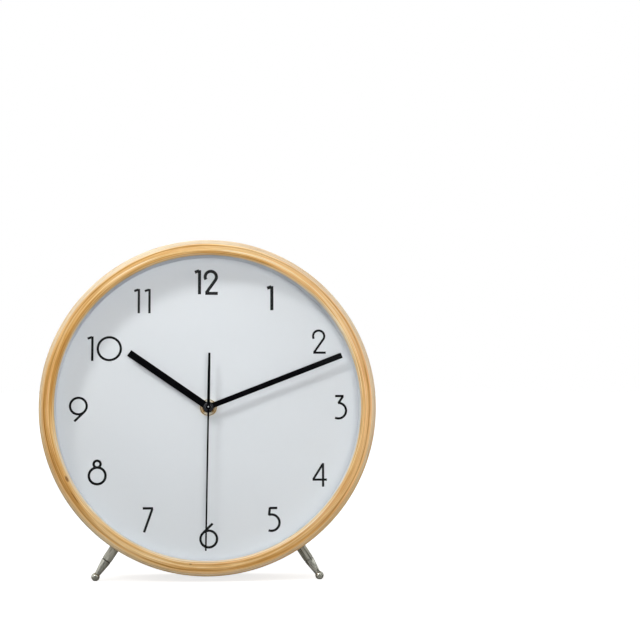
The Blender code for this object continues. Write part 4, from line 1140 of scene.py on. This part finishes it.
def makeScrews():
    # one pan-head screw, cut with a cross, then copied
    model = turnPiece("coverScrew1", screws["section"], screws["rounds"], 48)
    length, width, deep = screws["slot"]
    tall = 1.8  # of the block that cuts it
    middle = screws["headTop"] - deep + tall / 2
    for scale in ((length, tall, width), (width, tall, length)):
        bpy.ops.object.select_all(action="DESELECT")
        bpy.ops.mesh.primitive_cube_add(size=1, location=(0, middle, 0), scale=scale)
        cutAway(model, bpy.context.object)
    depth = cover["front"] + cover["thickness"] + screws["gap"]
    first, further = screws["turned"]
    places = screwPlaces()
    for number, (across, height) in enumerate(places, 1):
        screw = model
        if number < len(places):
            screw = model.copy()
            screw.data = model.data.copy()
            bpy.context.scene.collection.objects.link(screw)
        screw.name = screw.data.name = f"coverScrew{number}"
        turned = Matrix.Rotation(math.radians(first + further * (number - 1)), 4, "Y")
        putInCase(screw, "case", steel, across, depth, height, turned)
        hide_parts(f"cover_screw_{number}")


makeScrews()


# The battery
print("battery")
battery = {
    # (radius, length) corners from one end to the other
    "section": (
        (0, -25.0), (5.6, -25.0), (5.6, -24.7), (7.1, -24.7), (7.1, 23.8),
        (5.4, 23.8), (5.4, 23.4), (2.9, 23.4), (2.7, 25.0), (0, 25.0),
    ),
    "rounds": ((1, 0.15, 2), (3, 0.6, 4), (4, 0.7, 4), (8, 0.4, 4)),
    "place": (0.8, 30.3, -19.12),
}


def makeBattery():
    piece = turnPiece("batteryCell", battery["section"], battery["rounds"], 72)
    along = Vector((0, 1, 0)).rotation_difference(Vector((1, 0, 0))).to_matrix().to_4x4()
    putInCase(piece, "cell", cellWrap(), *battery["place"], along)
    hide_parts("battery")


makeBattery()


# What stays as the frame has it gets its finish
print("carried-over parts")
carried = {
    "dial_face": dialPaper(),
    "dial_board": hardboard("dialBoard", (118, 84, 54), (158, 120, 82)),
    "rubber_gasket": mouldedPlastic("gasketRubber", (18, 18, 18), (32, 31, 30), 0.75, 2.0, 0.00004),
    "movement_front_shell": blackShell,
    "movement_rear_shell": blackShell,
    "middle_plate": mouldedPlastic("platePlastic", (206, 206, 200), (226, 226, 220), 0.45),
    "setting_knob": mouldedPlastic("knobBlack", (52, 52, 56), (72, 72, 77), 0.32),
    "second_wheel": arborWheel("secondWheel"),
    "stator": plainMetal("statorIron", (112, 112, 110), (152, 152, 150), 0.4),
    "coil_core": plainMetal("coreIron", (104, 104, 102), (140, 140, 138), 0.4),
    "coil_bobbin": mouldedPlastic("bobbinPlastic", (226, 224, 214), (240, 238, 230), 0.4),
    "coil_winding": woundWire(),
    "rotor_magnet": plainMetal("rotorMagnet", (58, 58, 60), (84, 84, 88), 0.45),
    "circuit_board": boardLaminate(),
    "quartz_crystal": plainMetal("crystalCan", (176, 176, 172), (222, 222, 218), 0.18),
    "chip_cap": mouldedPlastic("chipResin", (14, 14, 15), (30, 30, 32), 0.35, 1.2),
    "contact_positive": spring,
    "contact_negative": spring,
    "leg_left_insert": steel,
    "leg_right_insert": steel,
}
wheelLook = mouldedPlastic("wheelPlastic", (218, 213, 196), (236, 232, 218), 0.42)
for name in ("hour_wheel", "minute_wheel", "centre_wheel", "third_wheel", "fifth_wheel", "rotor_arbor"):
    carried[name] = wheelLook
carried["minute_pipe"] = mouldedPlastic("pipePlastic", (30, 31, 34), (46, 48, 52), 0.35)
pine = blockPine()
for number in range(1, 5):
    carried[f"mounting_block_{number}"] = pine
for name, finish in carried.items():
    slots = nodes[name].material_slots
    if not slots:
        nodes[name].data.materials.append(finish)
    for slot in slots:
        slot.material = finish


# Room
print("room")
room = {
    "floorShare": 0.35,
    "floorGlow": 2.2,
    "floorBounce": 0.42,
    "worldLight": 0.12,
    "skyLight": 0.85,
    "behindCamera": 0.04,
    "frontWall": 0.42,
    "key": {
        "watts": 0.056,
        "colour": (1, 1, 1),
        "size": 0.2,
        "distance": 0.7,
        "rise": 46,
        "turn": -43,
        "spread": 18,
        "aim": (-0.02, 0.062),
    },
    "fill": {
        "watts": 1.38,
        "colour": (1.0, 0.975, 0.98),
        "size": 0.9,
        "distance": 1.3,
        "rise": 7,
        "turn": 7,
        "spread": 36,
        "aim": (0.01, 0.12),
    },
}


def makeFloor():
    bpy.ops.object.select_all(action="DESELECT")
    bpy.ops.mesh.primitive_plane_add(size=30, location=(0, 0, 0))
    floor = bpy.context.object
    floor.name = floor.data.name = "floor"
    made = Finish("floorWhite")
    seen = made.add("ShaderNodeLightPath", {}, {}, "Is Camera Ray")
    spot = made.add("ShaderNodeTexCoord", {}, {}, "Object")
    grain = made.cloud(spot, 40.0, 2.0)
    pale = made.over(paint(250, 250, 250), paint(253, 253, 253), grain)
    colour = made.over((room["floorBounce"],) * 3 + (1,), pale, seen)
    plain = made.add("ShaderNodeBsdfDiffuse", {}, {"Color": colour})
    glow = made.add("ShaderNodeEmission", {}, {"Color": (1, 1, 1, 1), "Strength": room["floorGlow"]})
    mixed = made.add("ShaderNodeMixShader", {}, {0: seen * room["floorShare"], 1: plain, 2: glow})
    made.add("ShaderNodeOutputMaterial", {}, {"Surface": mixed})
    floor.data.materials.append(made.material)


makeFloor()


def makeWorld():
    # even light for what is dull; what is shiny sees a room that is dark behind the camera
    world = bpy.data.worlds.new("studio")
    bpy.context.scene.world = world
    world.use_nodes = True
    made = Finish("studio", world.node_tree)
    camera = made.add("ShaderNodeLightPath", {}, {}, "Is Camera Ray")
    glossy = made.add("ShaderNodeLightPath", {}, {}, "Is Glossy Ray")
    through = made.add("ShaderNodeLightPath", {}, {}, "Is Transmission Ray")
    towards = made.add("ShaderNodeTexCoord", {}, {}, "Generated")
    sideways, away, up = made.split(towards)
    bright = up.between(0.3, 0.85) + sideways.size().between(0.55, 0.9) * 0.6
    bright = bright + away.between(-0.2, 0.6) * 0.3
    doorway = (0 - away).between(0.86, 0.95)
    front = room["frontWall"] + doorway * (room["behindCamera"] - room["frontWall"])
    mirrored = made.maths("MINIMUM", front + bright * (1 - front), 1)
    seen = made.maths("MAXIMUM", camera, through)
    dull = 1 - made.maths("MAXIMUM", seen, glossy)
    even = room["worldLight"] + up.between(0.2, 0.95) * room["skyLight"]
    strength = seen + glossy * mirrored + dull * even
    light = made.add("ShaderNodeBackground", {}, {"Color": (1, 1, 1, 1), "Strength": strength})
    made.add("ShaderNodeOutputWorld", {}, {"Surface": light})


makeWorld()


def makeLamp(name):
    # an area lamp; rise and turn are as seen from the middle of the dial
    values = room[name]
    lamp = bpy.data.lights.new(f"{name}Lamp", "AREA")
    lamp.energy = values["watts"]
    lamp.color = values["colour"]
    lamp.shape = "SQUARE"
    lamp.size = values["size"]
    lamp.spread = math.radians(values["spread"])
    made = bpy.data.objects.new(f"{name}Lamp", lamp)
    bpy.context.scene.collection.objects.link(made)
    middle = caseToRoom @ Vector((0, front["dialFront"], 0))
    rise, turn = math.radians(values["rise"]), math.radians(values["turn"])
    level = math.cos(rise)
    away = Vector((level * math.sin(turn), -level * math.cos(turn), math.sin(rise)))
    made.location = middle + away * values["distance"]
    aimAcross, aimUp = values["aim"]
    aim = middle + Vector((aimAcross, 0, aimUp))
    made.rotation_euler = (aim - made.location).to_track_quat("-Z", "Y").to_euler()
    return made


makeLamp("key")
# the wide lamp isn't seen in what shines
makeLamp("fill").visible_glossy = False

# The camera is a little above the clock's middle, a metre in front of it, and looks past it
view = {
    "distance": 1.0,
    "from": 3.2,  # depth of the point that the distance is counted from
    "rise": 0.85,
    "turn": -3.803,
    "tilt": 2.097,
    "lens": 94.33,
    "sensor": 36,
    "nearest": 0.01,
}
camera = bpy.data.cameras.new("camera")
camera.lens = view["lens"]
camera.sensor_width = view["sensor"]
camera.clip_start = view["nearest"]
shot = bpy.data.objects.new("camera", camera)
bpy.context.scene.collection.objects.link(shot)
rise = math.radians(view["rise"])
away = Vector((0, -math.cos(rise), math.sin(rise)))
shot.location = caseToRoom @ Vector((0, view["from"], 0)) + view["distance"] * away
shot.rotation_euler = (math.radians(90 + view["tilt"]), 0, math.radians(view["turn"]))
bpy.context.scene.camera = shot
bpy.context.scene.view_settings.view_transform = "Standard"

print("done")
